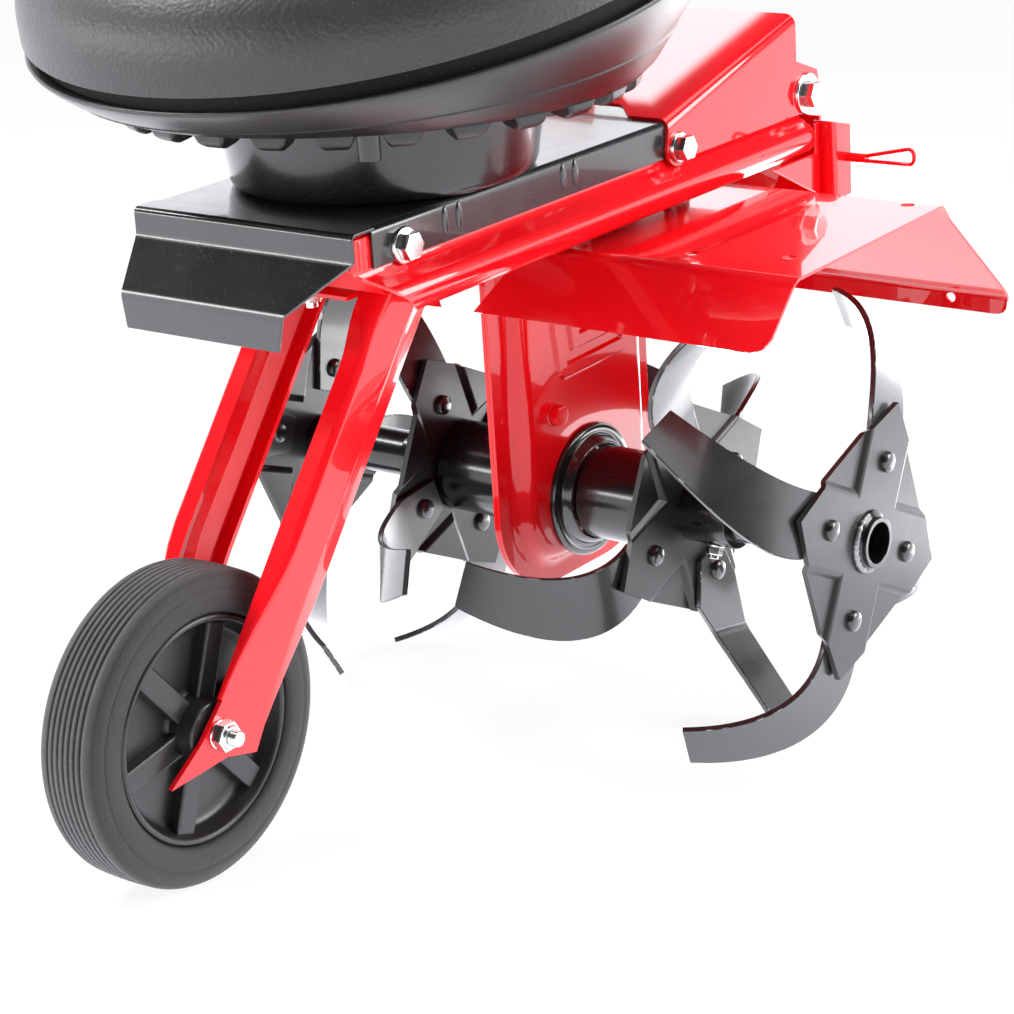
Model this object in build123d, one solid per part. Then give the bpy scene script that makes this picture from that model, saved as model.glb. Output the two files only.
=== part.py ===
"""Electric tiller, built in the frame of its deck and then leaned onto its wheel and tines.

Millimetres. X points to the machine's left, Y to its rear and Z up, square to the deck.
The middle of the tine axle is the origin until the last step, which leans the machine
nose down and moves it to its stance: the ground is z = 0 and the origin is under the
middle of the machine's box. Left is the side at positive X.
"""

import os
from math import cos, hypot, pi, radians, sin, sqrt

from build123d import *

os.makedirs("parts", exist_ok=True)

# Stance
axle_height = 125.1
axle_back = 117.8
nose_down = 6.05

# Clearances shared by pieces that meet
seat = 0.1
running = 0.05
apart = 0.5

# Deck cover
cover_half = 66.0
cover_top = 202.0
cover_sheet = 1.5
cover_front = -240.0
cover_rear = 40.0
cover_side_front = -226.0
cover_depth = 18.5
cover_skirt = cover_top - cover_depth
bumper_top = 189.0
bumper_fold = (-254.0, 164.0)
bumper_lip = (-252.0, 147.0)
bumper_near = ((cover_half, bumper_top), (34.0, 164.0), (28.0, 146.0))
deck_bolt_front = (-205.0, cover_skirt + 6.0)
nut_flats = 10.0
lug_bolt = (13.0, cover_skirt + 4.5)
side_hole_r = 4.3

# Frame under the cover
frame_sheet = 2.0
rail_flare = 10.0
rail_out = cover_half + rail_flare
rail_web_low = cover_skirt - 4.5
rail_shoulder = cover_skirt - 11.5
rail_side_low = cover_skirt - 17.5
rail_hem = (cover_half + rail_flare / 2, cover_skirt - 22.5)
rail_rear = 146.0
rail_end = 132.0
rail_cut = ((-241.0, 186.0), (-202.0, 158.0))
handle_bolt = (137.0, cover_skirt + 7.5)
wire_hole_r = 15.0

# Motor
motor_y = -136.5
neck_r = cover_half + 9.0
neck_wall = 3.0
neck_top = 246.0
rim_r = 126.0
ring_r = 156.8
ring_wall = 3.0
dish_r = ring_r + 6.7
dish_z = 293.0
dish_slope = 0.19
cap_r = ring_r + 8.2
cap_z = 304.6
cap_slope = 0.215
cap_height = 72.0
vane_count = 24
boss_turn = 38.0
screw_circle = neck_r + 17.0
screw_r = 1.8
can_r = 57.0
can_top = 312.0
motor_shaft_r = 4.0
motor_shaft_low = 174.0
motor_shaft_high = 318.0
bearing_r = 11.0
bearing_width = 7.0
can_wall = 3.0
core_r = 29.0
core_gap = 1.0
core_low = 240.0
core_high = 290.0
core_slots = 12
coil_width = 16.0
coil_depth = 16.0
fan_low = 222.0
fan_hub_r = 8.0
fan_r = 40.0
fan_height = 10.0
fan_blades = 11
commutator_r = 13.0
commutator_low = 294.0
commutator_high = 303.0

# Belt and pulleys
belt_low = 179.5
belt_high = 186.5
belt_thick = 4.0
pulley_low = 176.0
pulley_high = 190.0
motor_groove_r = 13.5
driven_groove_r = 41.0
pulley_flange = 5.0

# Worm gear
worm_module = 1.5
wheel_teeth = 36
worm_pitch_r = 7.0
worm_length = 30.0
worm_shaft_r = 4.9
worm_bush_r = 7.4
worm_bush_low = (-25.5, -18.5)
worm_bush_high = (135.0, 150.0)
wheel_half_width = 5.0
tooth_play = 0.9
worm_pitch = pi * worm_module
worm_y = -(worm_module * wheel_teeth / 2 + worm_pitch_r)
# Turn that sets a gap of the wheel's teeth over the worm's thread
wheel_turn = 4.34

# Gear case
case_middle = 2.0
case_flange_half = 69.5
case_flange_bottom = -47.0
case_flange_corner = 47.0
case_top = 165.0
case_half = 58.0
case_bottom = -37.5
case_corner = 28.0
case_depth = 11.0
case_wall = 1.8
case_bolt = (-28.5, 50.0)
case_taper = 38.0
plate_low = 166.0
plate_sheet = 3.0

# Tine axle
axle_r = 12.45
hub_r = 25.0
hub_in = 19.6
socket_r = 17.0
socket_end = 107.0
tube_r = 13.0
tube_bore = 10.5
tube_end = 188.0
bead_r = 16.0
bead_length = 3.0
inner_x = 77.1
outer_x = 181.0
clevis_x = 95.0
clevis_angle = 205.0
clevis_r = 4.0
axle_flange_r = 36.0
axle_flange_out = 19.0
axle_bearing_r = 20.0

# Tine plates and blades; arm 0 points up, the next one to the rear
plate_thick = 3.0
arm_half = 19.5
arm_tip = 71.0
arm_shoulder = 57.5
shoulder_angle = 19.0
web_drop = 2.0
rivet_circle = 40.65
rivet_r = 4.0
rivet_head_r = 5.6
rivet_head = 3.5
inner_phase = -19.5
outer_phase_left = 26.0
outer_phase_right = 20.5
blade_thick = 3.0
blade_root = 27.0
blade_half = 16.5
blade_flat = 54.0
# Leading and trailing edge of a blade: distance off its plate, radius, sideways
lead_edge = ((0.0, 54.0, -16.5), (0.0, 84.0, -24.0), (9.0, 117.0, -12.0), (58.0, 127.0, 21.2))
trail_edge = ((0.0, 54.0, 16.5), (0.0, 88.5, 13.5), (27.0, 104.3, 26.0), (55.7, 111.4, 39.0))
blade_steps = 8

# Front fork and wheel
wheel_y = -309.4
wheel_z = -17.6
wheel_r = 75.0
wheel_half = 18.0
wheel_rim_r = 54.0
wheel_bolt_r = 4.0
spacer_r = 5.4
spoke_count = 6
spoke_turn = -20.0
pivot_y = -163.3
pivot_z = 165.0
pivot_r = 5.0
leg_out = 38.0
leg_in = 26.0
leg_front = 13.6
leg_rear = 16.7
leg_sheet = 2.5
leg_corner = 6.0
# The foot is pressed flat below one height along the leg and is a full channel above the other
press_low = 14.0
press_high = 55.0
foot_out = 24.5
foot_front = 8.0
foot_rear = 28.4
# Lower edge of the foot: across the leg, along the leg
foot_edge = ((28.4, 0.0), (10.4, -7.9), (-17.6, -32.3), (-9.5, -8.0))
bridge_z = 158.5
bridge_bolt_x = -6.0
bridge_bolt_y = -189.5

# Guards
guard_line = ((-88.5, 121.0), (-73.5, 153.75), (77.0, 153.75), (141.5, 91.0), (138.5, 84.0))
guard_in = 16.5
guard_tip_in = 10.5
guard_out = 183.0
guard_out_front = 189.0
guard_out_rear = 187.0
guard_sheet = 1.5
guard_corner = 14.0
guard_post = (44.0, 45.0)
guard_post_r = 7.0

# Handle bracket
bracket_sheet = 2.0
bracket_front = (6.0, 202.6)
bracket_rear = (128.0, 234.4)
# Half widths of the notch at its mouth and its floor, and its depth
bracket_notch = (44.0, 29.0, 11.0)
handle_hole = (116.0, 222.0)
handle_hole_r = 4.3

# Rear cross-member and its pin
cross_half = 90.0
cross_low = 133.0
cross_high = 177.0
cross_depth = 14.0
cross_reach = 10.5
cross_inner = 62.0
pin_r = 2.6
pin_back = 6.0
pin_z = 154.5
pin_wire_r = 1.1
pin_loop = (9.0, 30.0)
pin_loop_rise = 3.5


def along_x(face, low, high):
    """Sketch drawn as (y, z), made solid from one x to another."""
    return extrude(Plane.YZ.offset(low) * face, high - low)


def along_y(face, low, high):
    """Sketch drawn as (x, z), made solid from one y to another."""
    return extrude(Plane.XZ.offset(-high) * face, high - low)


def along_z(face, low, high):
    """Sketch drawn as (x, y), made solid from one z to another."""
    return extrude(Plane.XY.offset(low) * face, high - low)


def polygon(points):
    return make_face(Polyline(*points, close=True))


def strip(points, radius, sheet):
    """Bent sheet seen on its edge; the points run along its middle."""
    return trace(FilletPolyline(*points, radius=radius), sheet)


def rod_x(radius, low, high, y, z):
    return along_x(Pos(y, z) * Circle(radius), low, high)


def rod_z(radius, low, high, x, y):
    return along_z(Pos(x, y) * Circle(radius), low, high)


def hexagon_x(flats, low, high, y, z):
    return along_x(Pos(y, z) * RegularPolygon(flats / sqrt(3), 6), low, high)


def turned_x(points):
    """Ring about the tine axle from a profile of (x, radius) points."""
    return revolve(Plane.XY * polygon(points), Axis.X)


def turned_z(points, y=0.0):
    """Ring about an upright axis from a profile of (radius, z) points."""
    return Pos(0, y, 0) * revolve(Plane.XZ * polygon(points), Axis.Z)


def flipped(shape):
    return mirror(shape, about=Plane.YZ)


def write(name, *shapes):
    """Lean and lift the pieces of one node and write them out."""
    solids = [s for shape in shapes for s in shape.solids()]
    node = solids[0] if len(solids) == 1 else Compound(solids)
    export_step(Pos(0, axle_back, axle_height) * Rot(nose_down, 0, 0) * node, f"parts/{name}.step")


# Deck and frame


def deck_cover():
    half = cover_half - cover_sheet / 2
    top = cover_top - cover_sheet / 2
    skirt = [(-half, cover_skirt), (-half, top), (half, top), (half, cover_skirt)]
    cover = along_y(strip(skirt, 2.5, cover_sheet), cover_side_front, cover_rear)
    front = cover_front + cover_sheet / 2
    nose = [(cover_side_front, top), (front, top), (front, bumper_top), bumper_fold, bumper_lip]
    cover += along_x(strip(nose, 2.5, cover_sheet), -cover_half, cover_half)
    far = (2 * cover_half, bumper_near[2][1] - 10)
    cut = polygon([*bumper_near, (bumper_near[2][0], far[1]), far, (far[0], bumper_top)])
    cover -= along_y(cut, cover_front - 40, cover_front - 2)
    cover -= rod_z(wire_hole_r, cover_top - 10, cover_top + 10, 0, motor_y)
    for y, z in (deck_bolt_front, lug_bolt):
        cover -= rod_x(side_hole_r, -cover_half - 5, cover_half + 5, y, z)
    return cover


def main_frame():
    web = cover_half - cover_sheet - seat - frame_sheet / 2
    top = cover_top - cover_sheet - seat - frame_sheet / 2
    out = rail_out - frame_sheet / 2
    right = [(web, top), (web, rail_web_low), (out, rail_shoulder), (out, rail_side_low), rail_hem]
    left = [(-x, z) for x, z in reversed(right)]
    frame = along_y(strip(left + right, 2.0, frame_sheet), cover_front + 3, rail_rear)
    wedge = polygon([*rail_cut, (rail_cut[1][0], 140.0), (-260.0, 140.0), (-260.0, 186.0)])
    frame -= along_x(wedge, -100, 100)
    for side in (1, -1):
        middle = side * (web + frame_sheet + 10)
        frame -= Pos(middle, rail_end + 10, 160) * Box(20 + frame_sheet - 0.1, 20, 46)
    frame -= rod_z(wire_hole_r, cover_top - 20, cover_top, 0, motor_y)
    for y, z in (deck_bolt_front, lug_bolt, handle_bolt):
        frame -= rod_x(side_hole_r, -cover_half, cover_half, y, z)
    return frame


def front_crossmember():
    """Folded sheet between the rails; two ears behind it hold the fork's pivot."""
    inner = cover_half - cover_sheet - frame_sheet - 2 * seat
    line = [(-236.0, 186.5), (-214.0, 169.0), (-184.0, 169.0)]
    member = along_x(strip(line, 4.0, frame_sheet), -inner, inner)
    ear_in = leg_out + apart + 1.0
    y, z = pivot_y, pivot_z
    ear = [
        (-206.0, 168.5), (-206.0, 174.0), (y - 10, z + 13), (y + 9, z + 11), (y + 12, z),
        (y + 7, z - 9), (y - 7, z - 9), (-184.0, 161.0),
    ]
    plate = along_x(polygon(ear), ear_in, ear_in + 3)
    member = member + plate + flipped(plate)
    return member - rod_x(pivot_r, -inner, inner, y, z)


def rear_crossmember():
    front = rail_rear + seat
    back = front + cross_reach
    mid = frame_sheet / 2
    low, high = cross_low + mid, cross_high - mid
    deep = front + cross_depth
    line = [(deep, low), (front + mid, low), (front + mid, high), (deep, high)]
    member = along_x(strip(line, 4.0, frame_sheet), -cross_inner, cross_inner)
    thick = front + frame_sheet
    wall = polygon([(front, cross_low), (thick, cross_low), (thick, cross_high), (front, cross_high)])
    member += along_x(wall, -cross_half, cross_half)
    end = polygon([(front, cross_low), (back, cross_low), (back, cross_high), (front, cross_high)])
    for side in (1, -1):
        edge = side * cross_half
        member += along_x(end, min(edge, edge - side * 2), max(edge, edge - side * 2))
    gusset = polygon([
        (rail_end + apart, cross_high), (front + 1, cross_high), (front + 1, cross_low + 2.5), (120.0, 144.0),
        (89.0, 157.4), (89.0, rail_hem[1] - 2), (rail_end + apart, rail_hem[1] - 2),
    ])
    plate = along_x(gusset, rail_out - 2.5, rail_out)
    member = member + plate + flipped(plate)
    tab = polygon([(front, pin_z - 8), (back, pin_z - 8), (back, pin_z + 8), (front, pin_z + 8)])
    member += along_x(tab, cross_inner, cross_inner + 3)
    return member - rod_x(pin_r + running, 50, 120, front + pin_back, pin_z)


def hitch_pin():
    """Pin with a pull loop of thin wire on its outer end."""
    y = rail_rear + seat + pin_back
    pin = rod_x(pin_r, 58, cross_half + 6, y, pin_z)
    wide, reach = pin_loop
    x, half = cross_half + 5, wide / 2
    loop = FilletPolyline(
        (x, y, pin_z + 1.3), (x + reach, y, pin_z + pin_loop_rise + half),
        (x + reach, y, pin_z + pin_loop_rise - half), (x, y, pin_z - 1.3), radius=half - 1.2,
    )
    start = Plane(loop @ 0, z_dir=loop % 0)
    return pin + sweep(start * Circle(pin_wire_r), path=loop)


def handle_bracket():
    inside = cover_half + seat
    outside = inside + bracket_sheet
    (y0, z0), (y1, z1) = bracket_front, bracket_rear
    side = [
        (2.5, 186.0), (3.0, 198.0), (y0, z0), (y1, z1), (y1, 210.0), (149.0, 202.0),
        (151.0, 191.0), (147.0, 181.0), (20.0, 181.0), (12.0, 179.5), (5.0, 182.0),
    ]
    panel = along_x(polygon(side), inside, outside)
    sheet = bracket_sheet
    roof = along_x(polygon([(y0, z0), (y1, z1), (y1, z1 + sheet), (y0, z0 + sheet)]), -outside, outside)
    mouth, floor, deep = bracket_notch
    notch = polygon([(-mouth - 9, y0 - 9), (-mouth, y0), (-floor, y0 + deep), (floor, y0 + deep),
                     (mouth, y0), (mouth + 9, y0 - 9)])
    notch = fillet([v for v in notch.vertices() if v.Y > y0 + 1], 4.0)
    bracket = panel + flipped(panel) + (roof - along_z(notch, z0 - 20, z1))
    for y, z in (lug_bolt, handle_bolt, handle_hole):
        bracket -= rod_x(handle_hole_r, -90, 90, y, z)
    return bracket


def side_bolt(y, z, inside, outside, flats, washer):
    """Bolt through a side wall: washer and hexagon outside, nut inside."""
    bolt = rod_x(4.0, inside - 9, outside + 2, y, z)
    bolt += rod_x(washer, outside, outside + 1.6, y, z)
    bolt += hexagon_x(flats, outside + 1.6, outside + 7, y, z)
    return bolt + hexagon_x(nut_flats, inside - 7, inside, y, z)


def deck_bolts():
    inside = cover_half - cover_sheet - seat - frame_sheet
    return [side_bolt(*deck_bolt_front, inside, cover_half, 13, 9.0)]


def handle_bolts():
    inside = cover_half - cover_sheet - seat - frame_sheet
    outside = cover_half + seat + bracket_sheet
    lug = side_bolt(*lug_bolt, inside - seat - plate_sheet, outside, 13, 8.0)
    return [lug, side_bolt(*handle_bolt, inside, outside, 13, 11.5)]


def guard():
    """Bent sheet; its outer edge is trimmed in plan and its lower corners are cut off."""
    (y0, z0), (y1, z1), (y2, z2), (y3, z3), (y4, z4) = guard_line
    panel = along_x(strip(guard_line, 6.0, guard_sheet), guard_tip_in, guard_out_front + 5)
    plan = [
        (guard_tip_in, y0 - 5), (guard_out, y0 - 5), (guard_out_front, y1), (guard_out, y2),
        (guard_out_rear, y3 + 5), (guard_in, y3 + 5), (guard_in, y1 + 4), (guard_tip_in, y1 + 4),
    ]
    panel &= along_z(polygon(plan), z4 - 20, z1 + 20)
    tip = guard_tip_in
    slant = polygon([(tip - 1, z0), (tip, z0), (tip + 30, z1 + 5), (tip - 1, z1 + 5)])
    panel -= along_y(slant, y0 - 5, y1 - 1)
    cut = guard_corner / sqrt(2)
    for x, y, z in ((guard_out, y0, z0), (guard_out_rear, y4, z4)):
        corner = polygon([(x - cut, z - 2), (x - cut, z), (x + 5, z + cut + 5), (x + 5, z - 2)])
        panel -= along_y(corner, y - 15, y + 15)
    x, y = guard_post
    for post_y in (-y, y):
        panel -= rod_z(3.2, z1 - 14, z1 + 16, x, post_y)
    return panel


def guard_posts():
    x, y = guard_post
    top = guard_line[1][1]
    gap = guard_sheet / 2 + seat / 2
    posts = []
    for post_y in (-y, y):
        post = rod_z(guard_post_r, top + gap, plate_low - seat / 2, x, post_y)
        post += rod_z(3.0, top - 9, plate_low, x, post_y)
        post += rod_z(6.5, top - 5, top - gap, x, post_y)
        posts += [post, flipped(post)]
    return posts


# Gear case and drive


def case_outline(half, bottom, top, corner):
    """Straight sides and a rounded bottom, as (y, z)."""
    outline = polygon([(-half, bottom), (half, bottom), (half, top), (-half, top)])
    low = [v for v in outline.vertices() if v.Y < bottom + 1]
    return Pos(case_middle, 0) * fillet(low, corner)


def gear_case():
    rim = case_outline(case_flange_half, case_flange_bottom, case_top, case_flange_corner)
    flange = along_x(rim, seat / 2, 2)
    body = extrude(
        Plane.YZ.offset(seat / 2) * case_outline(case_half, case_bottom, case_top - 5, case_corner),
        case_depth, taper=case_taper,
    )
    hollow = extrude(
        Plane.YZ * case_outline(case_half - 3.4, case_bottom + 3.4, case_top - 8.4, case_corner - 3.4),
        case_depth - case_wall, taper=case_taper,
    )
    tab = Pos(12, 0, case_top - 1) * Box(24 - seat, 96, 2)
    half = flange + body + tab - hollow
    half -= rod_x(axle_bearing_r + seat, -1, 30, 0, 0)
    half -= rod_z(worm_shaft_r + apart, worm_bush_high[1] - 50, case_top + 5, 0, worm_y)
    return half - rod_x(3.0, 5, 15, *case_bolt)


def case_screw():
    screw = rod_x(3.0, case_depth - 3, case_depth + 1, *case_bolt)
    screw += rod_x(6.5, case_depth + seat, case_depth + 1.5, *case_bolt)
    return screw + hexagon_x(nut_flats, case_depth + 1.5, case_depth + 6, *case_bolt)


def gearbox_plate():
    inner = cover_half - cover_sheet - frame_sheet - 2 * seat
    low = plate_low
    line = [(-inner + 1.5, 196), (-inner + 1.5, low + 1.5), (inner - 1.5, low + 1.5), (inner - 1.5, 196)]
    plate = along_y(strip(line, 3.0, plate_sheet), -62, 62)
    plate -= rod_z(worm_shaft_r + apart, plate_low - 5, plate_low + 10, 0, worm_y)
    plate -= rod_x(side_hole_r, -cover_half, cover_half, *lug_bolt)
    x, y = guard_post
    for post_x in (-x, x):
        for post_y in (-y, y):
            plate -= rod_z(3.1, plate_low - 5, plate_low + 6, post_x, post_y)
    return plate


def axle_flange():
    low = case_depth + seat
    bore = axle_bearing_r
    ring = turned_x([
        (low, bore), (low, axle_flange_r), (low + 2.2, axle_flange_r), (low + 3.2, axle_flange_r - 4),
        (axle_flange_out - 1, 27.5), (axle_flange_out, 26.5), (axle_flange_out, bore),
    ])
    return ring


def axle_bearing():
    return turned_x([
        (case_depth - 1.5, axle_r + running), (case_depth - 1.5, axle_bearing_r),
        (axle_flange_out - 1, axle_bearing_r), (axle_flange_out - 1, axle_r + running),
    ])


def worm_shaft():
    root = worm_pitch_r - 1.25 * worm_module
    crest = worm_pitch_r + 0.9 * worm_module
    shaft = rod_z(worm_shaft_r, worm_bush_low[0] - apart, pulley_high + 3, 0, 0)
    thread_height = worm_length
    foot = worm_pitch / 4 - tooth_play / 2 + 0.45
    tip = worm_pitch / 4 - tooth_play / 2 - 0.45
    profile = polygon([(root - 0.6, -foot), (crest, -tip), (crest, tip), (root - 0.6, foot)])
    helix = Helix(worm_pitch, thread_height, root, center=(0, 0, -thread_height / 2))
    start = helix @ 0
    section = Pos(0, 0, start.Z) * (Plane.XZ * profile)
    thread = sweep(section, path=helix, is_frenet=True)
    core = rod_z(root, -thread_height / 2 - 3, thread_height / 2 + 3, 0, 0)
    return Pos(0, worm_y, 0) * (shaft + core + thread)


def worm_wheel():
    pitch_r = worm_module * wheel_teeth / 2
    root = pitch_r - 1.3 * worm_module
    tip = pitch_r + 0.75 * worm_module
    step = 360 / wheel_teeth
    foot = worm_pitch / 4 - tooth_play / 2 + 0.4
    top = worm_pitch / 4 - tooth_play / 2 - 0.45
    tooth = polygon([(-foot, root - 1), (foot, root - 1), (top, tip), (-top, tip)])
    face = Circle(root)
    for k in range(wheel_teeth):
        face += Rot(0, 0, 90 + k * step + wheel_turn) * tooth
    face -= Circle(axle_r)
    return along_x(face, -wheel_half_width, wheel_half_width)


def worm_bearing(low, high):
    """Bronze bush clamped between the case halves, bored for the worm shaft."""
    bush = rod_z(worm_bush_r, low, high, 0, worm_y)
    return bush - rod_z(worm_shaft_r + running, low - 1, high + 1, 0, worm_y)


def pulley(groove_r, bore):
    r = groove_r + pulley_flange
    return turned_z([
        (bore, pulley_low), (r, pulley_low), (r, pulley_low + 1.5), (groove_r, belt_low - 0.5),
        (groove_r, belt_high + 0.5), (r, pulley_high - 1.5), (r, pulley_high), (bore, pulley_high),
    ])


def drive_belt():
    def loop(extra):
        small = Pos(0, motor_y) * Circle(motor_groove_r + extra)
        large = Pos(0, worm_y) * Circle(driven_groove_r + extra)
        return make_hull([*small.edges(), *large.edges()])

    return along_z(loop(apart + belt_thick) - loop(apart), belt_low, belt_high)


# Motor


def motor_base():
    floor = cover_top + seat
    base = turned_z([
        (20, floor), (neck_r - 10, floor), (neck_r - 3, floor + 3), (neck_r, floor + 10),
        (neck_r, neck_top), (neck_r - neck_wall, neck_top), (neck_r - neck_wall, floor + 10),
        (neck_r - 6, floor + 5), (neck_r - 12, floor + 3), (20, floor + 3),
    ], motor_y)
    for k in range(4):
        boss = rod_z(8.0, floor + 22, neck_top, neck_r - 2, 0) - rod_z(neck_r - 4, floor, neck_top + 1, 0, 0)
        base += Pos(0, motor_y, 0) * Rot(0, 0, boss_turn + 90 * k) * boss
    return base


def tilted(radius, height, slope):
    return Plane((0, motor_y, height), x_dir=(1, 0, 0), z_dir=(0, -slope, 1)) * Circle(radius)


def level(radius, height):
    return Pos(0, motor_y, height) * Circle(radius)


def hood_dish():
    low = neck_top + seat
    outer = loft([level(rim_r, low).face(), tilted(dish_r, dish_z, dish_slope).face()])
    inner = loft([level(rim_r - 3, low + 3).face(), tilted(dish_r - 2.4, dish_z + 1, dish_slope).face()])
    dish = outer - inner - rod_z(can_r + 1.5, low - 1, low + 5, 0, motor_y)
    hole = rod_z(screw_r, low - 1, low + 2.5, screw_circle, 0)
    for k in range(4):
        dish -= Pos(0, motor_y, 0) * Rot(0, 0, boss_turn + 90 * k) * hole
    fin = polygon([(rim_r - 25, low), (rim_r - 1, low), (rim_r - 3, low - 5), (rim_r - 9, low - 7)])
    fin = along_y(fin, -5.5, 5.5)
    for k in range(vane_count):
        dish += Pos(0, motor_y, 0) * Rot(0, 0, k * 360 / vane_count) * fin
    return dish


def vent_ring():
    base = tilted(ring_r, dish_z - 1.5, dish_slope)
    top = tilted(ring_r, cap_z - seat, cap_slope)
    bore_base = tilted(ring_r - ring_wall, dish_z - 2.5, dish_slope)
    bore_top = tilted(ring_r - ring_wall, cap_z + 1, cap_slope)
    return loft([base.face(), top.face()]) - loft([bore_base.face(), bore_top.face()])


def hood_cap():
    def dome(radius, height, low):
        line = Polyline((0, low), (radius, low), (radius - 1, 12))
        points = [(radius - 1, 12), (radius - 40, height * 0.72), (0, height)]
        crown = Spline(*points, tangents=[(-0.15, 1), (-1, 0)])
        return revolve(Plane.XZ * make_face(line + crown + Line((0, height), (0, low))), Axis.Z)

    shell = dome(cap_r, cap_height, 0) - dome(cap_r - 3, cap_height - 3, -1)
    rim = Cylinder(cap_r - 2, 3, align=(Align.CENTER, Align.CENTER, Align.MIN))
    rim -= Cylinder(ring_r - 2 * ring_wall, 10)
    place = Plane((0, motor_y, cap_z), x_dir=(1, 0, 0), z_dir=(0, -cap_slope, 1))
    return place * (shell + rim)


def hood_screws():
    screw = rod_z(3.8, neck_top - 4, neck_top, screw_circle, 0)
    screw += rod_z(screw_r, neck_top - 1, neck_top + seat + 2.5, screw_circle, 0)
    return [Pos(0, motor_y, 0) * Rot(0, 0, boss_turn + 90 * k) * screw for k in range(4)]


def motor_can():
    low = cover_top + seat + 3 + seat
    seat_low = low + can_wall
    seat_high = seat_low + bearing_width
    top_seat = can_top - bearing_width
    lid = can_top - can_wall
    cup = bearing_r + 4
    bore = motor_shaft_r + 2
    return turned_z([
        (bore, low), (can_r, low), (can_r, can_top), (bearing_r, can_top), (bearing_r, top_seat),
        (cup, top_seat), (cup, lid), (can_r - can_wall, lid), (can_r - can_wall, seat_low),
        (cup, seat_low), (cup, seat_high), (bearing_r, seat_high), (bearing_r, seat_low), (bore, seat_low),
    ], motor_y)


def motor_bearings():
    low = cover_top + seat + 3 + seat + can_wall
    rings = []
    for z in (low, can_top - bearing_width):
        rings.append(turned_z([
            (motor_shaft_r + running, z), (bearing_r, z), (bearing_r, z + bearing_width),
            (motor_shaft_r + running, z + bearing_width),
        ], motor_y))
    return rings


def sleeve(inside, outside, low, high):
    """Plain ring about the motor's axis."""
    return turned_z([(inside, low), (outside, low), (outside, high), (inside, high)], motor_y)


def stator():
    out = can_r - can_wall
    ring = sleeve(core_r + core_gap, out, core_low, core_high)
    gap = Box(2 * out, coil_width, core_high - core_low + 10)
    for k in range(2):
        ring -= Pos(0, motor_y, (core_low + core_high) / 2) * Rot(0, 0, 45 + 90 * k) * gap
    return ring + sleeve(core_r + coil_depth + core_gap, out, core_low, core_high)


def armature():
    core = sleeve(motor_shaft_r, core_r, core_low, core_high)
    slot = Pos(core_r - 1.5, 0, (core_low + core_high) / 2) * Box(6, 3, core_high - core_low + 10)
    for k in range(core_slots):
        core -= Pos(0, motor_y, 0) * Rot(0, 0, 360 / core_slots * k) * slot
    return core


def cooling_fan():
    fan = sleeve(motor_shaft_r, fan_r, fan_low, fan_low + 2)
    fan += sleeve(motor_shaft_r, fan_hub_r, fan_low, fan_low + fan_height)
    length = fan_r - fan_hub_r - 6
    blade = Pos(fan_r - length / 2 - 1, 0, fan_low + fan_height * 0.6) * Box(length, 1.6, fan_height * 0.8)
    for k in range(fan_blades):
        fan += Pos(0, motor_y, 0) * Rot(0, 0, 360 / fan_blades * k) * blade
    return fan


# Tines


def hub_tube():
    shell = turned_x([
        (hub_in, axle_r), (hub_in, hub_r), (inner_x - plate_thick / 2 - web_drop, hub_r),
        (inner_x - plate_thick / 2 - web_drop, socket_r), (socket_end, socket_r), (socket_end, tube_r),
        (inner_x + 2, tube_r), (inner_x + 2, axle_r - 4), (inner_x - 2, axle_r - 4), (inner_x - 2, axle_r),
    ])
    return shell - clevis_line() * rod_z(clevis_r, -40, 40, clevis_x, 0)


def clevis_line():
    return Rot(-clevis_angle, 0, 0)


def outer_tube():
    """Tube pinned in the socket; a weld bead joins it to the outer plate."""
    low = outer_x + plate_thick / 2
    start = inner_x + 2.2
    tube = turned_x([
        (start, tube_bore), (start, tube_r), (low, tube_r), (low, bead_r), (low + 1, bead_r),
        (low + bead_length, tube_r), (tube_end, tube_r), (tube_end, tube_bore),
    ])
    return tube - clevis_line() * rod_z(clevis_r, -40, 40, clevis_x, 0)


def clevis_bolt():
    bolt = rod_z(clevis_r, -socket_r - 6, socket_r + 9, 0, 0)
    bolt += along_z(RegularPolygon(13 / sqrt(3), 6), -socket_r - 5, -socket_r + 0.1)
    bolt += along_z(RegularPolygon(13 / sqrt(3), 6), socket_r - 0.1, socket_r + 6.5)
    bolt -= rod_x(socket_r, -20, 20, 0, 0) - rod_z(clevis_r, -30, 30, 0, 0)
    return clevis_line() * Pos(clevis_x, 0, 0) * bolt


def arm_turn(phase, k):
    """Turn about the tine axle that brings the upright arm to its place, rearwards from the top."""
    return Rot(-(phase + 90 * k), 0, 0)


def tine_plate(bore):
    """Stamped plate seen from its end; webs between the arms are set back to the inside."""
    reach = radians(shoulder_angle)
    out, side = arm_shoulder * cos(reach), arm_shoulder * sin(reach)
    arm = polygon([(-arm_half, 0), (-arm_half, out), (0, arm_tip), (arm_half, out), (arm_half, 0)])
    web = polygon([(arm_half - 1, arm_half - 1), (arm_half - 1, out), (out, arm_half - 1)])
    half = plate_thick / 2
    plate = rod_x(arm_half, -half, half, 0, 0)
    for k in range(4):
        plate += Rot(90 * k, 0, 0) * along_x(arm, -half, half)
        plate += Rot(90 * k, 0, 0) * along_x(web, -half - web_drop, half - web_drop)
    for k in range(4):
        plate -= Rot(90 * k, 0, 0) * rod_x(rivet_r, -10, 10, 0, rivet_circle)
    return plate - rod_x(bore, -10, 10, 0, 0)


def bezier(points, t):
    s = 1 - t
    weights = (s * s * s, 3 * s * s * t, 3 * s * t * t, t * t * t)
    return Vector(*(sum(w * p[i] for w, p in zip(weights, points)) for i in range(3)))


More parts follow.
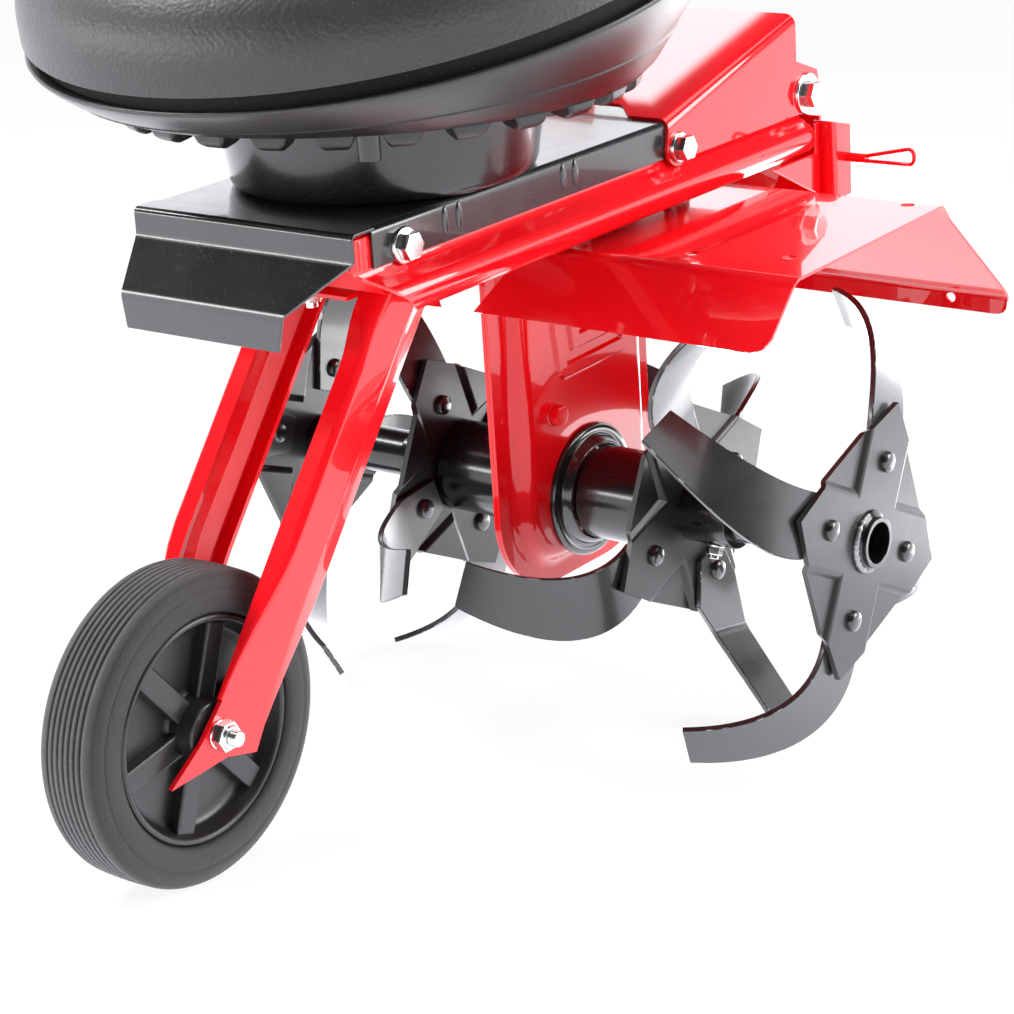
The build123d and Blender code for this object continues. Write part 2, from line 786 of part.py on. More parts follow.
def blade():
    """Blade of the upright arm, bending towards positive X, its root plate centred on x = 0."""
    def to_xyz(p):
        return Vector(p.X, p.Z, p.Y)

    sections = []
    for k in range(blade_steps):
        t = k / (blade_steps - 1)
        lead, trail = to_xyz(bezier(lead_edge, t)), to_xyz(bezier(trail_edge, t))
        ahead = bezier(lead_edge, t + 0.01) + bezier(trail_edge, t + 0.01)
        behind = bezier(lead_edge, t - 0.01) + bezier(trail_edge, t - 0.01)
        normal = to_xyz(ahead - behind).cross(trail - lead).normalized() * (blade_thick / 2)
        if k == 0:
            normal = Vector(1, 0, 0) * (blade_thick / 2) * (1 if normal.X > 0 else -1)
        sections.append(polygon_3d([lead - normal, trail - normal, trail + normal, lead + normal]))
    half = blade_thick / 2
    root = polygon([(-blade_half, blade_flat), (-10, blade_root), (10, blade_root), (blade_half, blade_flat)])
    shape = loft(sections) + along_x(root, -half, half)
    return shape - rod_x(rivet_r, -10, 10, 0, rivet_circle)


def polygon_3d(points):
    return Face(Wire.make_polygon(points, close=True))


def blades(plate_x, phase, outward):
    """The four blades of one left-hand plate; outward lists the arms that bend away from the case."""
    base = blade()
    offset = plate_thick / 2 + blade_thick / 2
    out = []
    for k in range(4):
        if k in outward:
            out.append(arm_turn(phase, k) * Pos(plate_x + offset, 0, 0) * base)
        else:
            out.append(arm_turn(phase, k) * Pos(plate_x - offset, 0, 0) * flipped(base))
    return out


def rivets(plate_x, phase, outward):
    out = []
    for k in range(4):
        low, high = -plate_thick / 2 - blade_thick, plate_thick / 2
        if k in outward:
            low, high = -plate_thick / 2, plate_thick / 2 + blade_thick
        rivet = rod_x(rivet_r, low, high, 0, rivet_circle)
        for x, sign in ((low, -1), (high, 1)):
            cone = polygon([(x, 0), (x, rivet_head_r), (x + sign * 1.4, rivet_head_r - 0.6),
                            (x + sign * 2.8, rivet_head_r - 2.4), (x + sign * rivet_head, 0)])
            rivet += Pos(0, 0, rivet_circle) * revolve(Plane.XY * cone, Axis.X)
        out.append(arm_turn(phase, k) * Pos(plate_x, 0, 0) * rivet)
    return out


# Fork and wheel


def leg_direction():
    """Along the leg, from the wheel up to the pivot."""
    return Vector(0, pivot_y - wheel_y, pivot_z - wheel_z).normalized()


def leg_face(low, high, front, rear, corner):
    """Section across a leg with rounded outer corners."""
    face = polygon([(low, -front), (high, -front), (high, rear), (low, rear)])
    return fillet([v for v in face.vertices() if v.X > high - 0.1], corner)


def fork_leg():
    """Rounded channel, open inwards; its foot is pressed flat for the wheel bolt and cut almost level."""
    run = hypot(pivot_y - wheel_y, pivot_z - wheel_z)
    place = Plane((0, wheel_y, wheel_z), x_dir=(1, 0, 0), z_dir=leg_direction())
    sheet = leg_sheet
    foot_in = foot_out - sheet
    outer = leg_face(leg_in, leg_out, leg_front, leg_rear, leg_corner)
    inner = leg_face(leg_in - 9, leg_out - sheet, leg_front - sheet, leg_rear - sheet, leg_corner - sheet)
    flat = leg_face(foot_in, foot_out, foot_front, foot_rear, 1.0)
    under = leg_face(foot_in - 9, foot_in - 0.2, foot_front - sheet, foot_rear - sheet, 1.0)
    low, high = Plane.XY.offset(press_low), Plane.XY.offset(press_high)
    leg = extrude(high * (outer - inner), run + leg_front - press_high)
    press = loft([(low * flat).face(), (high * outer).face()])
    leg += press - loft([(low * under).face(), (high * inner).face()])
    foot = polygon([(-foot_front, press_low), (foot_rear, press_low), *foot_edge])
    leg = place * (leg + along_x(foot, foot_in, foot_out))
    leg -= rod_x(pivot_r + running, 0, 60, pivot_y, pivot_z)
    return leg - rod_x(wheel_bolt_r, 0, 60, wheel_y, wheel_z)


def fork_bridge():
    inside = leg_in - seat
    low, high = bridge_z - leg_sheet / 2, bridge_z + leg_sheet / 2
    plate = along_x(polygon([(-201.0, low), (-171.0, low), (-171.0, high), (-201.0, high)]), -inside, inside)
    return plate - rod_z(3.0, 120, 170, bridge_bolt_x, bridge_bolt_y)


def bridge_nut():
    high = bridge_z + leg_sheet / 2
    low = bridge_z - leg_sheet / 2
    hexagon = Pos(bridge_bolt_x, bridge_bolt_y) * RegularPolygon(nut_flats / sqrt(3), 6)
    bolt = rod_z(3.0, low - 9, high + 1, bridge_bolt_x, bridge_bolt_y)
    return bolt + along_z(hexagon, low - 6, low) + along_z(hexagon, high, high + 4)


def fork_pivot():
    ear = leg_out + apart + 4.0
    bolt = rod_x(pivot_r, -ear - 6, ear + 2, pivot_y, pivot_z)
    bolt += hexagon_x(15, ear + 0.05, ear + 6, pivot_y, pivot_z)
    return bolt + hexagon_x(15, -ear - 6, -ear - 0.05, pivot_y, pivot_z)


def wheel_axle():
    """Bolt from the right-hand leg; its nut and thread end stand on the left."""
    bolt = rod_x(wheel_bolt_r, -foot_out - 2, foot_out + 11.5, wheel_y, wheel_z)
    bolt += hexagon_x(13, -foot_out - 6, -foot_out, wheel_y, wheel_z)
    return bolt + hexagon_x(13, foot_out, foot_out + 7, wheel_y, wheel_z)


def wheel_spacers():
    low, high = wheel_half + 2.5, foot_out - leg_sheet
    inside, outside = wheel_bolt_r, spacer_r
    ring = turned_x([(low, inside), (low, outside), (high, outside), (high, inside)])
    ring = Pos(0, wheel_y, wheel_z) * ring
    return [ring, flipped(ring)]


def tyre():
    edge = wheel_half
    face = [
        (-edge + 3, wheel_rim_r), (-edge, wheel_rim_r + 4), (-edge, wheel_r - 7), (-edge + 5, wheel_r - 1),
        (-edge + 9, wheel_r), (edge - 9, wheel_r), (edge - 5, wheel_r - 1), (edge, wheel_r - 7),
        (edge, wheel_rim_r + 4), (edge - 3, wheel_rim_r),
    ]
    return Pos(0, wheel_y, wheel_z) * turned_x(face)


def wheel_rim():
    bore = wheel_bolt_r + running
    hub_half = wheel_half + 2
    r = wheel_rim_r
    ring = turned_x([(-15, r - 7), (-15, r), (15, r), (15, r - 7)])
    hub = turned_x([(-hub_half, bore), (-hub_half, 15), (hub_half, 15), (hub_half, bore)])
    web = turned_x([(-2, 13), (-2, r - 5), (2, r - 5), (2, 13)])
    rim = ring + web
    for k in range(spoke_count):
        rim += Rot(spoke_turn + 360 / spoke_count * k, 0, 0) * Pos(0, 0, 30) * Box(24, 10, 40)
    rim = rim - rod_x(14, -30, 30, 0, 0) + hub
    return Pos(0, wheel_y, wheel_z) * rim


write("main_frame", main_frame())
write("front_crossmember", front_crossmember())
write("rear_crossmember", rear_crossmember())
write("hitch_pin", hitch_pin())
write("deck_cover", deck_cover())
write("handle_bracket", handle_bracket())
write("deck_bolts", *deck_bolts(), *[flipped(b) for b in deck_bolts()])
write("handle_bolts", *handle_bolts(), *[flipped(b) for b in handle_bolts()])
write("guard_left", guard())
write("guard_right", flipped(guard()))
write("guard_posts", *guard_posts())
write("gearbox_plate", gearbox_plate())
write("gear_case_left", gear_case())
write("gear_case_right", flipped(gear_case()))
write("case_bolts", case_screw(), flipped(case_screw()))
write("axle_flanges", axle_flange(), flipped(axle_flange()))
write("axle_bearings", axle_bearing(), flipped(axle_bearing()))
write("worm_bearings", worm_bearing(*worm_bush_low), worm_bearing(*worm_bush_high))
write("worm_shaft", worm_shaft())
write("worm_wheel", worm_wheel())
write("driven_pulley", Pos(0, worm_y, 0) * pulley(driven_groove_r, worm_shaft_r))
write("motor_pulley", Pos(0, motor_y, 0) * pulley(motor_groove_r, motor_shaft_r))
write("drive_belt", drive_belt())
write("motor_base", motor_base())
write("hood_dish", hood_dish())
write("vent_ring", vent_ring())
write("hood_cap", hood_cap())
write("hood_screws", *hood_screws())
write("motor_can", motor_can())
write("motor_bearings", *motor_bearings())
write("stator", stator())
write("motor_shaft", rod_z(motor_shaft_r, motor_shaft_low, motor_shaft_high, 0, motor_y))
write("armature", armature())
write("commutator", sleeve(motor_shaft_r, commutator_r, commutator_low, commutator_high))
write("cooling_fan", cooling_fan())
write("tine_axle", rod_x(axle_r, -inner_x + 2.2, inner_x - 2.2, 0, 0))
for hand, phase in (("left", outer_phase_left), ("right", outer_phase_right)):
    side = flipped if hand == "right" else (lambda shape: shape)
    inner = arm_turn(inner_phase, 0) * Pos(inner_x, 0, 0) * tine_plate(socket_r)
    outer = arm_turn(phase, 0) * Pos(outer_x, 0, 0) * tine_plate(tube_r)
    write(f"hub_tube_{hand}", side(hub_tube()))
    write(f"outer_tube_{hand}", side(outer_tube()))
    write(f"inner_plate_{hand}", side(inner))
    write(f"outer_plate_{hand}", side(outer))
    write(f"inner_blades_{hand}", *[side(b) for b in blades(inner_x, inner_phase, (0, 2))])
    write(f"outer_blades_{hand}", *[side(b) for b in blades(outer_x, phase, ())])
    rows = rivets(inner_x, inner_phase, (0, 2)) + rivets(outer_x, phase, ())
    write(f"tine_rivets_{hand}", *[side(r) for r in rows])
write("clevis_bolts", clevis_bolt(), flipped(clevis_bolt()))
write("fork_leg_left", fork_leg())
write("fork_leg_right", flipped(fork_leg()))
write("fork_bridge", fork_bridge())
write("bridge_nut", bridge_nut())
write("fork_pivot", fork_pivot())
write("wheel_axle", wheel_axle())
write("wheel_spacers", *wheel_spacers())
write("tyre", tyre())
write("wheel_rim", wheel_rim())
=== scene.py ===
import math

import bmesh
import bpy
from mathutils import Matrix, Vector
from mathutils.geometry import interpolate_bezier


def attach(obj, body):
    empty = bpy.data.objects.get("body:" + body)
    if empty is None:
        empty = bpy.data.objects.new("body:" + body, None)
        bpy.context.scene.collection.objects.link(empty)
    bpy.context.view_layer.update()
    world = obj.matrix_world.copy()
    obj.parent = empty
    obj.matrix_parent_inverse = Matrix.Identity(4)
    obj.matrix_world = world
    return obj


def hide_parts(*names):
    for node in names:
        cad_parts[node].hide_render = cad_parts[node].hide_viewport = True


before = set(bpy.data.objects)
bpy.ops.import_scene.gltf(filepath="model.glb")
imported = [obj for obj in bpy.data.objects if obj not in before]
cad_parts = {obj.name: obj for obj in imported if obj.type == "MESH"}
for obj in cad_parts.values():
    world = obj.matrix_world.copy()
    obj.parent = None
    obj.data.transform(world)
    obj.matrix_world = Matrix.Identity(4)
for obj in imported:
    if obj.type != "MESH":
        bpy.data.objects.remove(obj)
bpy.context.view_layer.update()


# Main frame: one inverted channel of pressed steel sheet, whose sides flare out into
# two rounded rails with turned-in lower edges. It is sprayed in glossy red enamel.
deck = (Matrix.Translation((0, 0.1178, 0.1251)) @ Matrix.Rotation(math.radians(6.05), 4, "X")
        @ Matrix.Scale(0.001, 4))


class Tone:
    """One shader socket of a finish; sums on tones add Math nodes."""

    def __init__(self, tree, socket=None):
        self.tree = tree
        self.socket = socket

    def node(self, kind, settings=None, inputs=None, output=0):
        made = self.tree.nodes.new("ShaderNode" + kind)
        for name, value in (settings or {}).items():
            setattr(made, name, value)
        for name, value in (inputs or {}).items():
            if isinstance(value, Tone):
                self.tree.links.new(value.socket, made.inputs[name])
            else:
                made.inputs[name].default_value = value
        return Tone(self.tree, made.outputs[output])

    def into(self, shader, name):
        self.tree.links.new(self.socket, shader.inputs[name])

    def sum(self, operation, first, second):
        return self.node("Math", {"operation": operation}, {0: first, 1: second})

    def __add__(self, other):
        return self.sum("ADD", self, other)

    def __sub__(self, other):
        return self.sum("SUBTRACT", self, other)

    def __rsub__(self, other):
        return self.sum("SUBTRACT", other, self)

    def __mul__(self, other):
        return self.sum("MULTIPLY", self, other)

    __radd__ = __add__
    __rmul__ = __mul__

    def noise(self, where, scale, detail=2.0, rough=0.5):
        sizes = {"Vector": where, "Scale": scale, "Detail": detail, "Roughness": rough}
        return self.node("TexNoise", None, sizes, "Fac")

    def step(self, low, high):
        """0 below low, 1 above high, smooth between."""
        levels = {"Value": self, "From Min": low, "From Max": high}
        return self.node("MapRange", {"interpolation_type": "SMOOTHSTEP"}, levels, "Result")

    def between(self, first, second):
        """Colour that goes from the first to the second as this tone goes from 0 to 1."""
        return self.node("Mix", {"data_type": "RGBA"}, {0: self, 6: first, 7: second}, 2)

    def bump(self, strength, distance):
        return self.node("Bump", None, {"Strength": strength, "Distance": distance, "Height": self})


def new_finish(name):
    finish = bpy.data.materials.new(name)
    finish.use_nodes = True
    tones = Tone(finish.node_tree)
    where = tones.node("TexCoord", output="Object")
    return finish, tones, where, finish.node_tree.nodes["Principled BSDF"]


def red_enamel(name, gloss=0.13, coat=0.95, level=0.12):
    """Sprayed red paint: slight clouds in the colour, orange peel and a few dust specks."""
    finish, tones, where, shader = new_finish(name)
    clouds = tones.noise(where, 14.0, 3.0)
    peel = tones.noise(where, 420.0, 1.0)
    smears = tones.noise(where, 60.0, 4.0, 0.65)
    dust = tones.noise(where, 1900.0, 0.0).step(0.80, 0.86)
    paint = clouds.step(0.3, 0.7).between((0.79, 0.0040, 0.0085, 1), (0.86, 0.0062, 0.0130, 1))
    (dust * 0.25).between(paint, (0.85, 0.25, 0.25, 1)).into(shader, "Base Color")
    (smears * 0.10 + gloss + dust * 0.2).into(shader, "Roughness")
    peel.bump(0.02, 0.0006).into(shader, "Normal")
    shader.inputs["Specular IOR Level"].default_value = level
    shader.inputs["Coat Weight"].default_value = coat
    shader.inputs["Coat Roughness"].default_value = 0.012
    return finish


def add_piece(name, shape, *finishes, place=deck, finished=True, **edges):
    """Mesh object of a shape drawn in millimetres on the level deck, with its edges finished."""
    bmesh.ops.transform(shape, matrix=place, verts=shape.verts)
    mesh = bpy.data.meshes.new(name)
    shape.to_mesh(mesh)
    shape.free()
    mesh.shade_smooth()
    for finish in finishes:
        mesh.materials.append(finish)
    piece = bpy.data.objects.new(name, mesh)
    bpy.context.scene.collection.objects.link(piece)
    if finished:
        finish_edges(piece, **edges)
    return piece


def finish_edges(piece, sheet=0.0, edge=0.0, worn=-1, centred=0.0):
    """Gives a sheet its thickness, rounds its hard edges and keeps its flats flat."""
    if sheet:
        wall = piece.modifiers.new("sheet", "SOLIDIFY")
        wall.thickness = sheet / 1000
        wall.offset = centred
        wall.use_even_offset = True
    if edge:
        round_over = piece.modifiers.new("edge", "BEVEL")
        round_over.width = edge / 1000
        round_over.segments = 2
        round_over.limit_method = "ANGLE"
        round_over.angle_limit = math.radians(38)
        round_over.material = worn
    piece.modifiers.new("flats", "WEIGHTED_NORMAL").keep_sharp = True


def chain(shape, points):
    """Edges from point to point."""
    corners = [shape.verts.new(point) for point in points]
    return [shape.edges.new(pair) for pair in zip(corners, corners[1:])]


def pull(shape, made, reach):
    """Moves the corners that an extrusion has made."""
    corners = [v for v in made["geom"] if isinstance(v, bmesh.types.BMVert)]
    bmesh.ops.translate(shape, vec=reach, verts=corners)


def round_edges(shape, edges, radius, segments=5, clamp=False):
    bmesh.ops.bevel(shape, geom=edges, offset=radius, offset_type="OFFSET", segments=segments, profile=0.5,
                    affect="EDGES", material=-1, clamp_overlap=clamp)


def drawn_sheet(shape, points, reach, bend):
    """Sheet drawn out from a line of points, with round bends where the line turns."""
    edges = chain(shape, points)
    pull(shape, bmesh.ops.extrude_edge_only(shape, edges=edges), reach)
    shape.normal_update()
    along = Vector(reach).normalized()
    bends = [e for e in shape.edges if e.is_manifold
             and abs((e.verts[0].co - e.verts[1].co).normalized().dot(along)) > 0.99]
    round_edges(shape, bends, bend, clamp=True)


def whole(shape):
    return shape.verts[:] + shape.edges[:] + shape.faces[:]


def slice_at(shape, spot, way, clear=False):
    """Cuts a shape along a plane, and may drop what lies beyond it."""
    bmesh.ops.bisect_plane(shape, geom=whole(shape), dist=0.0001, plane_co=spot, plane_no=way,
                           clear_outer=clear)


frame_red = red_enamel("frame_enamel")
rail = [(63.4, 199.4), (63.4, 180.0), (75.0, 173.0), (75.0, 165.0), (71.0, 161.0)]
rail_front, rail_rear, rail_bend = -237.0, 146.0, 3.4
mitre_spot, mitre_way = (0, -241, 186), (0, -28, -39)
flare_end, channel_half = 132.0, 64.2
shape = bmesh.new()
drawn_sheet(shape, [(x, rail_front, z) for x, z in reversed(rail)] + [(-x, rail_front, z) for x, z in rail],
            (0, rail_rear - rail_front, 0), rail_bend)
slice_at(shape, mitre_spot, mitre_way, clear=True)
slice_at(shape, (0, flare_end, 0), (0, 1, 0))
middles = {f: f.calc_center_median() for f in shape.faces}
rail_ends = [f for f, middle in middles.items() if middle.y > flare_end and abs(middle.x) > channel_half]
bmesh.ops.delete(shape, geom=rail_ends, context="FACES")
main_frame = add_piece("main_frame_rails", shape, frame_red, sheet=2.0, edge=0.5)
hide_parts("main_frame")
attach(main_frame, "chassis")


# Front cross-member: folded red plate that closes the frame's nose and carries the two
# ears of the fork pivot. It is welded between the rails, with two rolled folds at each
# corner, and painted with them.
def dress(node, finish, edge=0.0):
    """Finish, and round hard edges, on a part whose shape is already right."""
    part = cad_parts[node]
    for place in part.material_slots:
        place.material = finish
    if edge:
        part.modifiers.new("weld", "WELD").merge_threshold = 0.000002
        finish_edges(part, edge=edge)


def add_rod(shape, place, radius, length, end_radius=None, segments=24):
    """Round bar about the z axis of its place, straight or slightly tapered."""
    bmesh.ops.create_cone(shape, cap_ends=True, segments=segments, radius1=radius,
                          radius2=radius if end_radius is None else end_radius, depth=length, matrix=place)


dress("front_crossmember", red_enamel("nose_enamel", gloss=0.4, coat=0.0, level=0.04), edge=0.5)
roll_spots = ((62.4, -229.8), (62.2, -235.6))
roll_z, roll_r, roll_tall = 191.5, 3.1, 15.0
shape = bmesh.new()
for side in (1, -1):
    for x, y in roll_spots:
        add_rod(shape, Matrix.Translation((side * x, y, roll_z)), roll_r, roll_tall)
corner_folds = add_piece("corner_folds", shape, frame_red, edge=0.6)
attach(corner_folds, "chassis")


# Deck cover: black painted steel pressing over the frame, with side flanges, a folded
# nose and pairs of stamped ribs that stiffen each flange.
def black_paint(name, colour, gloss, coat, grain=0.04):
    """Stoved black paint: faint clouds, fine peel and uneven gloss."""
    finish, tones, where, shader = new_finish(name)
    clouds = tones.noise(where, 22.0, 4.0)
    peel = tones.noise(where, 620.0, 2.0)
    smears = tones.noise(where, 75.0, 5.0, 0.7)
    dust = tones.noise(where, 2100.0, 0.0).step(0.79, 0.85)
    light = tuple(c * 1.5 for c in colour[:3]) + (1,)
    paint = clouds.step(0.25, 0.75).between(colour, light)
    (dust * 0.35).between(paint, (0.25, 0.25, 0.26, 1)).into(shader, "Base Color")
    (smears * 0.16 + gloss + dust * 0.2).into(shader, "Roughness")
    peel.bump(grain, 0.0006).into(shader, "Normal")
    shader.inputs["Coat Weight"].default_value = coat
    shader.inputs["Coat Roughness"].default_value = 0.05
    return finish


deck_black = black_paint("deck_paint", (0.0095, 0.0095, 0.011, 1), gloss=0.16, coat=0.5)
nose_half, cover_side, cover_low, cover_top, cover_bend = 66.0, 65.25, 183.5, 201.25, 2.4
cover_front, cover_run = -226.0, 266.0
nose = [(-224.0, cover_top), (-239.25, cover_top), (-239.25, 189.0), (-253.4, 164.0), (-251.4, 147.0)]
nose_cut = [(nose_half, 189.0), (34.0, 164.0), (28.0, 146.0)]
shape = bmesh.new()
drawn_sheet(shape, [(-nose_half, y, z) for y, z in nose], (2 * nose_half, 0, 0), cover_bend)
for x, z in nose_cut:
    slice_at(shape, (0, 0, z), (0, 0, 1))
for (x1, z1), (x2, z2) in zip(nose_cut, nose_cut[1:]):
    band = [f for f in shape.faces if z2 < f.calc_center_median().z < z1]
    edges = list({e for f in band for e in f.edges})
    verts = list({v for f in band for v in f.verts})
    bmesh.ops.bisect_plane(shape, geom=verts + edges + band, dist=0.0001, plane_co=(x1, 0, z1),
                           plane_no=(z1 - z2, 0, x2 - x1))
    middles = {f: f.calc_center_median() for f in shape.faces}
    spare = [f for f, middle in middles.items() if z2 < middle.z < z1
             and middle.x > x2 + (x1 - x2) * (middle.z - z2) / (z1 - z2)]
    bmesh.ops.delete(shape, geom=spare, context="FACES")
section = [(-cover_side, cover_low), (-cover_side, cover_top)]
section += [(-x, z) for x, z in reversed(section)]
drawn_sheet(shape, [(x, cover_front, z) for x, z in section], (0, cover_run, 0), cover_bend)
cover = add_piece("cover_pressing", shape, deck_black, sheet=1.5, edge=0.4)
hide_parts("deck_cover")
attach(cover, "chassis")

rib_places = (-174.5, -164.2, -83.0, -73.2)
rib_z, rib_size = 193.6, (1.1, 2.3, 6.6)
shape = bmesh.new()
for side in (1, -1):
    for y in rib_places:
        place = Matrix.Translation((side * nose_half, y, rib_z)) @ Matrix.Diagonal((*rib_size, 1))
        bmesh.ops.create_uvsphere(shape, u_segments=16, v_segments=12, radius=1.0, matrix=place)
cover_ribs = add_piece("cover_ribs", shape, deck_black, finished=False)
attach(cover_ribs, "chassis")


# Handle bracket: red steel sheet folded over the rear of the deck. Its cheeks have a
# round lug at the front, and its roof is notched at the front edge.
def outwards(shape):
    """Turns a shape's faces outwards."""
    bmesh.ops.recalc_face_normals(shape, faces=shape.faces)


lug = (13.0, 188.0)
cheek_x, lug_r, roof_bend = 67.1, 9.8, 5.0
roof_front, roof_rear = (6.0, 202.6), (128.0, 234.4)
cheek = [roof_front, roof_rear, (128.0, 210.0), (149.0, 202.0), (151.0, 191.0), (147.0, 181.0), (22.0, 181.0)]
cheek += [(lug[0] + lug_r * math.cos(math.radians(a)), lug[1] + lug_r * math.sin(math.radians(a)))
          for a in range(285, 165, -15)]
roof_slope = (roof_rear[1] - roof_front[1]) / (roof_rear[0] - roof_front[0])
notch = [(45.5, 6.0), (43.2, 6.4), (41.0, 7.6), (33.5, 15.2), (31.4, 16.5), (29.0, 17.0)]
notch += [(-x, y) for x, y in reversed(notch)]
shape = bmesh.new()
corners = {}
for side in (1, -1):
    corners[side] = [shape.verts.new((side * cheek_x, y, z)) for y, z in cheek]
    shape.faces.new(corners[side])
cut = [shape.verts.new((x, y, roof_front[1] + (y - roof_front[0]) * roof_slope)) for x, y in notch]
shape.faces.new([corners[1][1], corners[1][0], *cut, corners[-1][0], corners[-1][1]])
shape.normal_update()
roof_folds = [e for e in shape.edges if e.is_manifold]
round_edges(shape, roof_folds, roof_bend)
outwards(shape)
bracket = add_piece("bracket_sheet", shape, frame_red, sheet=2.0, edge=0.5)
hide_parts("handle_bracket")
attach(bracket, "chassis")


# Rear cross-member: red steel bar across the rail ends, with a closed box at each end and
# a gusset under each rail. It guides the pull pin, which is painted with it.
member_z, bar_y, end_x, end_y, end_drop, end_round = 155.0, 148.0, 77.0, 148.6, 6.0, 5.0
bar_size, end_size = (140.0, 3.0, 44.0), (14.0, 23.0, 44.0)
gusset_x, gusset_thick = 74.6, 1.4
gusset = [(132.5, 176.0), (138.0, 176.0), (138.0, 135.5), (120.0, 144.0), (89.0, 160.0), (132.5, 160.0)]
shape = bmesh.new()
middle = Matrix.Translation((0, bar_y, member_z)) @ Matrix.Diagonal((*bar_size, 1))
bmesh.ops.create_cube(shape, size=1.0, matrix=middle)
for side in (1, -1):
    box_end = Matrix.Translation((side * end_x, end_y, member_z)) @ Matrix.Diagonal((*end_size, 1))
    corners = bmesh.ops.create_cube(shape, size=1.0, matrix=box_end)["verts"]
    for v in corners:
        if v.co.y > end_y and v.co.z > member_z:
            v.co.z -= end_drop
    uprights = [e for e in {e for v in corners for e in v.link_edges}
                if abs(e.verts[0].co.x - e.verts[1].co.x) + abs(e.verts[0].co.y - e.verts[1].co.y) < 0.01]
    round_edges(shape, uprights, end_round, 6)
    wing = shape.faces.new([shape.verts.new((side * gusset_x, y, z)) for y, z in gusset])
    pull(shape, bmesh.ops.extrude_face_region(shape, geom=[wing]), (side * gusset_thick, 0, 0))
outwards(shape)
member = add_piece("rear_channel", shape, frame_red, edge=0.8)
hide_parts("rear_crossmember")
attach(member, "chassis")
dress("hitch_pin", frame_red)


# Gearbox plate, worm gear and belt drive: plain steel, iron, bronze and rubber pieces
# under the deck and in the case. Turned and cast, with an oily film.
def bare_metal(name, colour, gloss, grain=180.0):
    """Machined metal: fine turning marks and stains."""
    finish, tones, where, shader = new_finish(name)
    stains = tones.noise(where, 40.0, 5.0, 0.6)
    marks = tones.noise(where, grain * 10, 2.0)
    dark = tuple(c * 0.72 for c in colour[:3]) + (1,)
    stains.step(0.35, 0.7).between(colour, dark).into(shader, "Base Color")
    (stains * 0.2 + marks * 0.1 + gloss).into(shader, "Roughness")
    marks.bump(0.06, 0.0003).into(shader, "Normal")
    shader.inputs["Metallic"].default_value = 1.0
    return finish


steel = bare_metal("turned_steel", (0.50, 0.50, 0.50, 1), gloss=0.22)
iron = bare_metal("pulley_iron", (0.24, 0.24, 0.24, 1), gloss=0.32)
bronze = bare_metal("gear_bronze", (0.55, 0.36, 0.15, 1), gloss=0.25)
belt_rubber = black_paint("belt_rubber", (0.018, 0.018, 0.018, 1), gloss=0.55, coat=0.0, grain=0.2)
for node in ("gearbox_plate", "worm_shaft", "tine_axle", "axle_bearings"):
    dress(node, steel)
for node in ("motor_pulley", "driven_pulley"):
    dress(node, iron)
for node in ("worm_wheel", "worm_bearings"):
    dress(node, bronze)
dress("drive_belt", belt_rubber)


# Gear case: two pressed steel halves with a wide seam flange, sloped walls and nested
# stiffening bands on each face. Bolted together and enamelled red.
case_red = red_enamel("case_enamel", gloss=0.16, coat=0.6)
flange_out, flange_low, flange_top, flange_corner = 69.5, -47.0, 165.0, 47.0
case_middle, seam_x, seam_thick, flange_width, wall_slope, face_x = 2.0, 2.0, 1.9, 11.5, 7.0, 11.05
press_bend, band_corner, band_tight = 4.0, 9.0, 1.2
bands = [(-31.0, 118.0), (-23.5, 65.0), (43.0, 67.0), (37.0, 118.0)]
band_steps = ((0.0, -0.3), (2.0, 1.8), (8.0, 1.8), (9.6, 0.1), (14.1, 0.1), (15.7, 1.8), (21.7, 1.8),
              (23.3, 0.1))


def rounded(outline, inset, corner):
    """Points of an outline set in from its edge, with round corners."""
    points = []
    for k, here in enumerate(outline):
        arrive = (Vector(here) - Vector(outline[k - 1])).normalized()
        leave = (Vector(outline[(k + 1) % len(outline)]) - Vector(here)).normalized()
        half = math.acos(-arrive.dot(leave)) / 2
        centre = Vector(here) + (leave - arrive).normalized() * (inset + corner) / math.sin(half)
        first, last = Vector((arrive.y, -arrive.x)), Vector((leave.y, -leave.x))
        points += [centre + first.slerp(last, share / 6) * corner for share in range(7)]
    return points


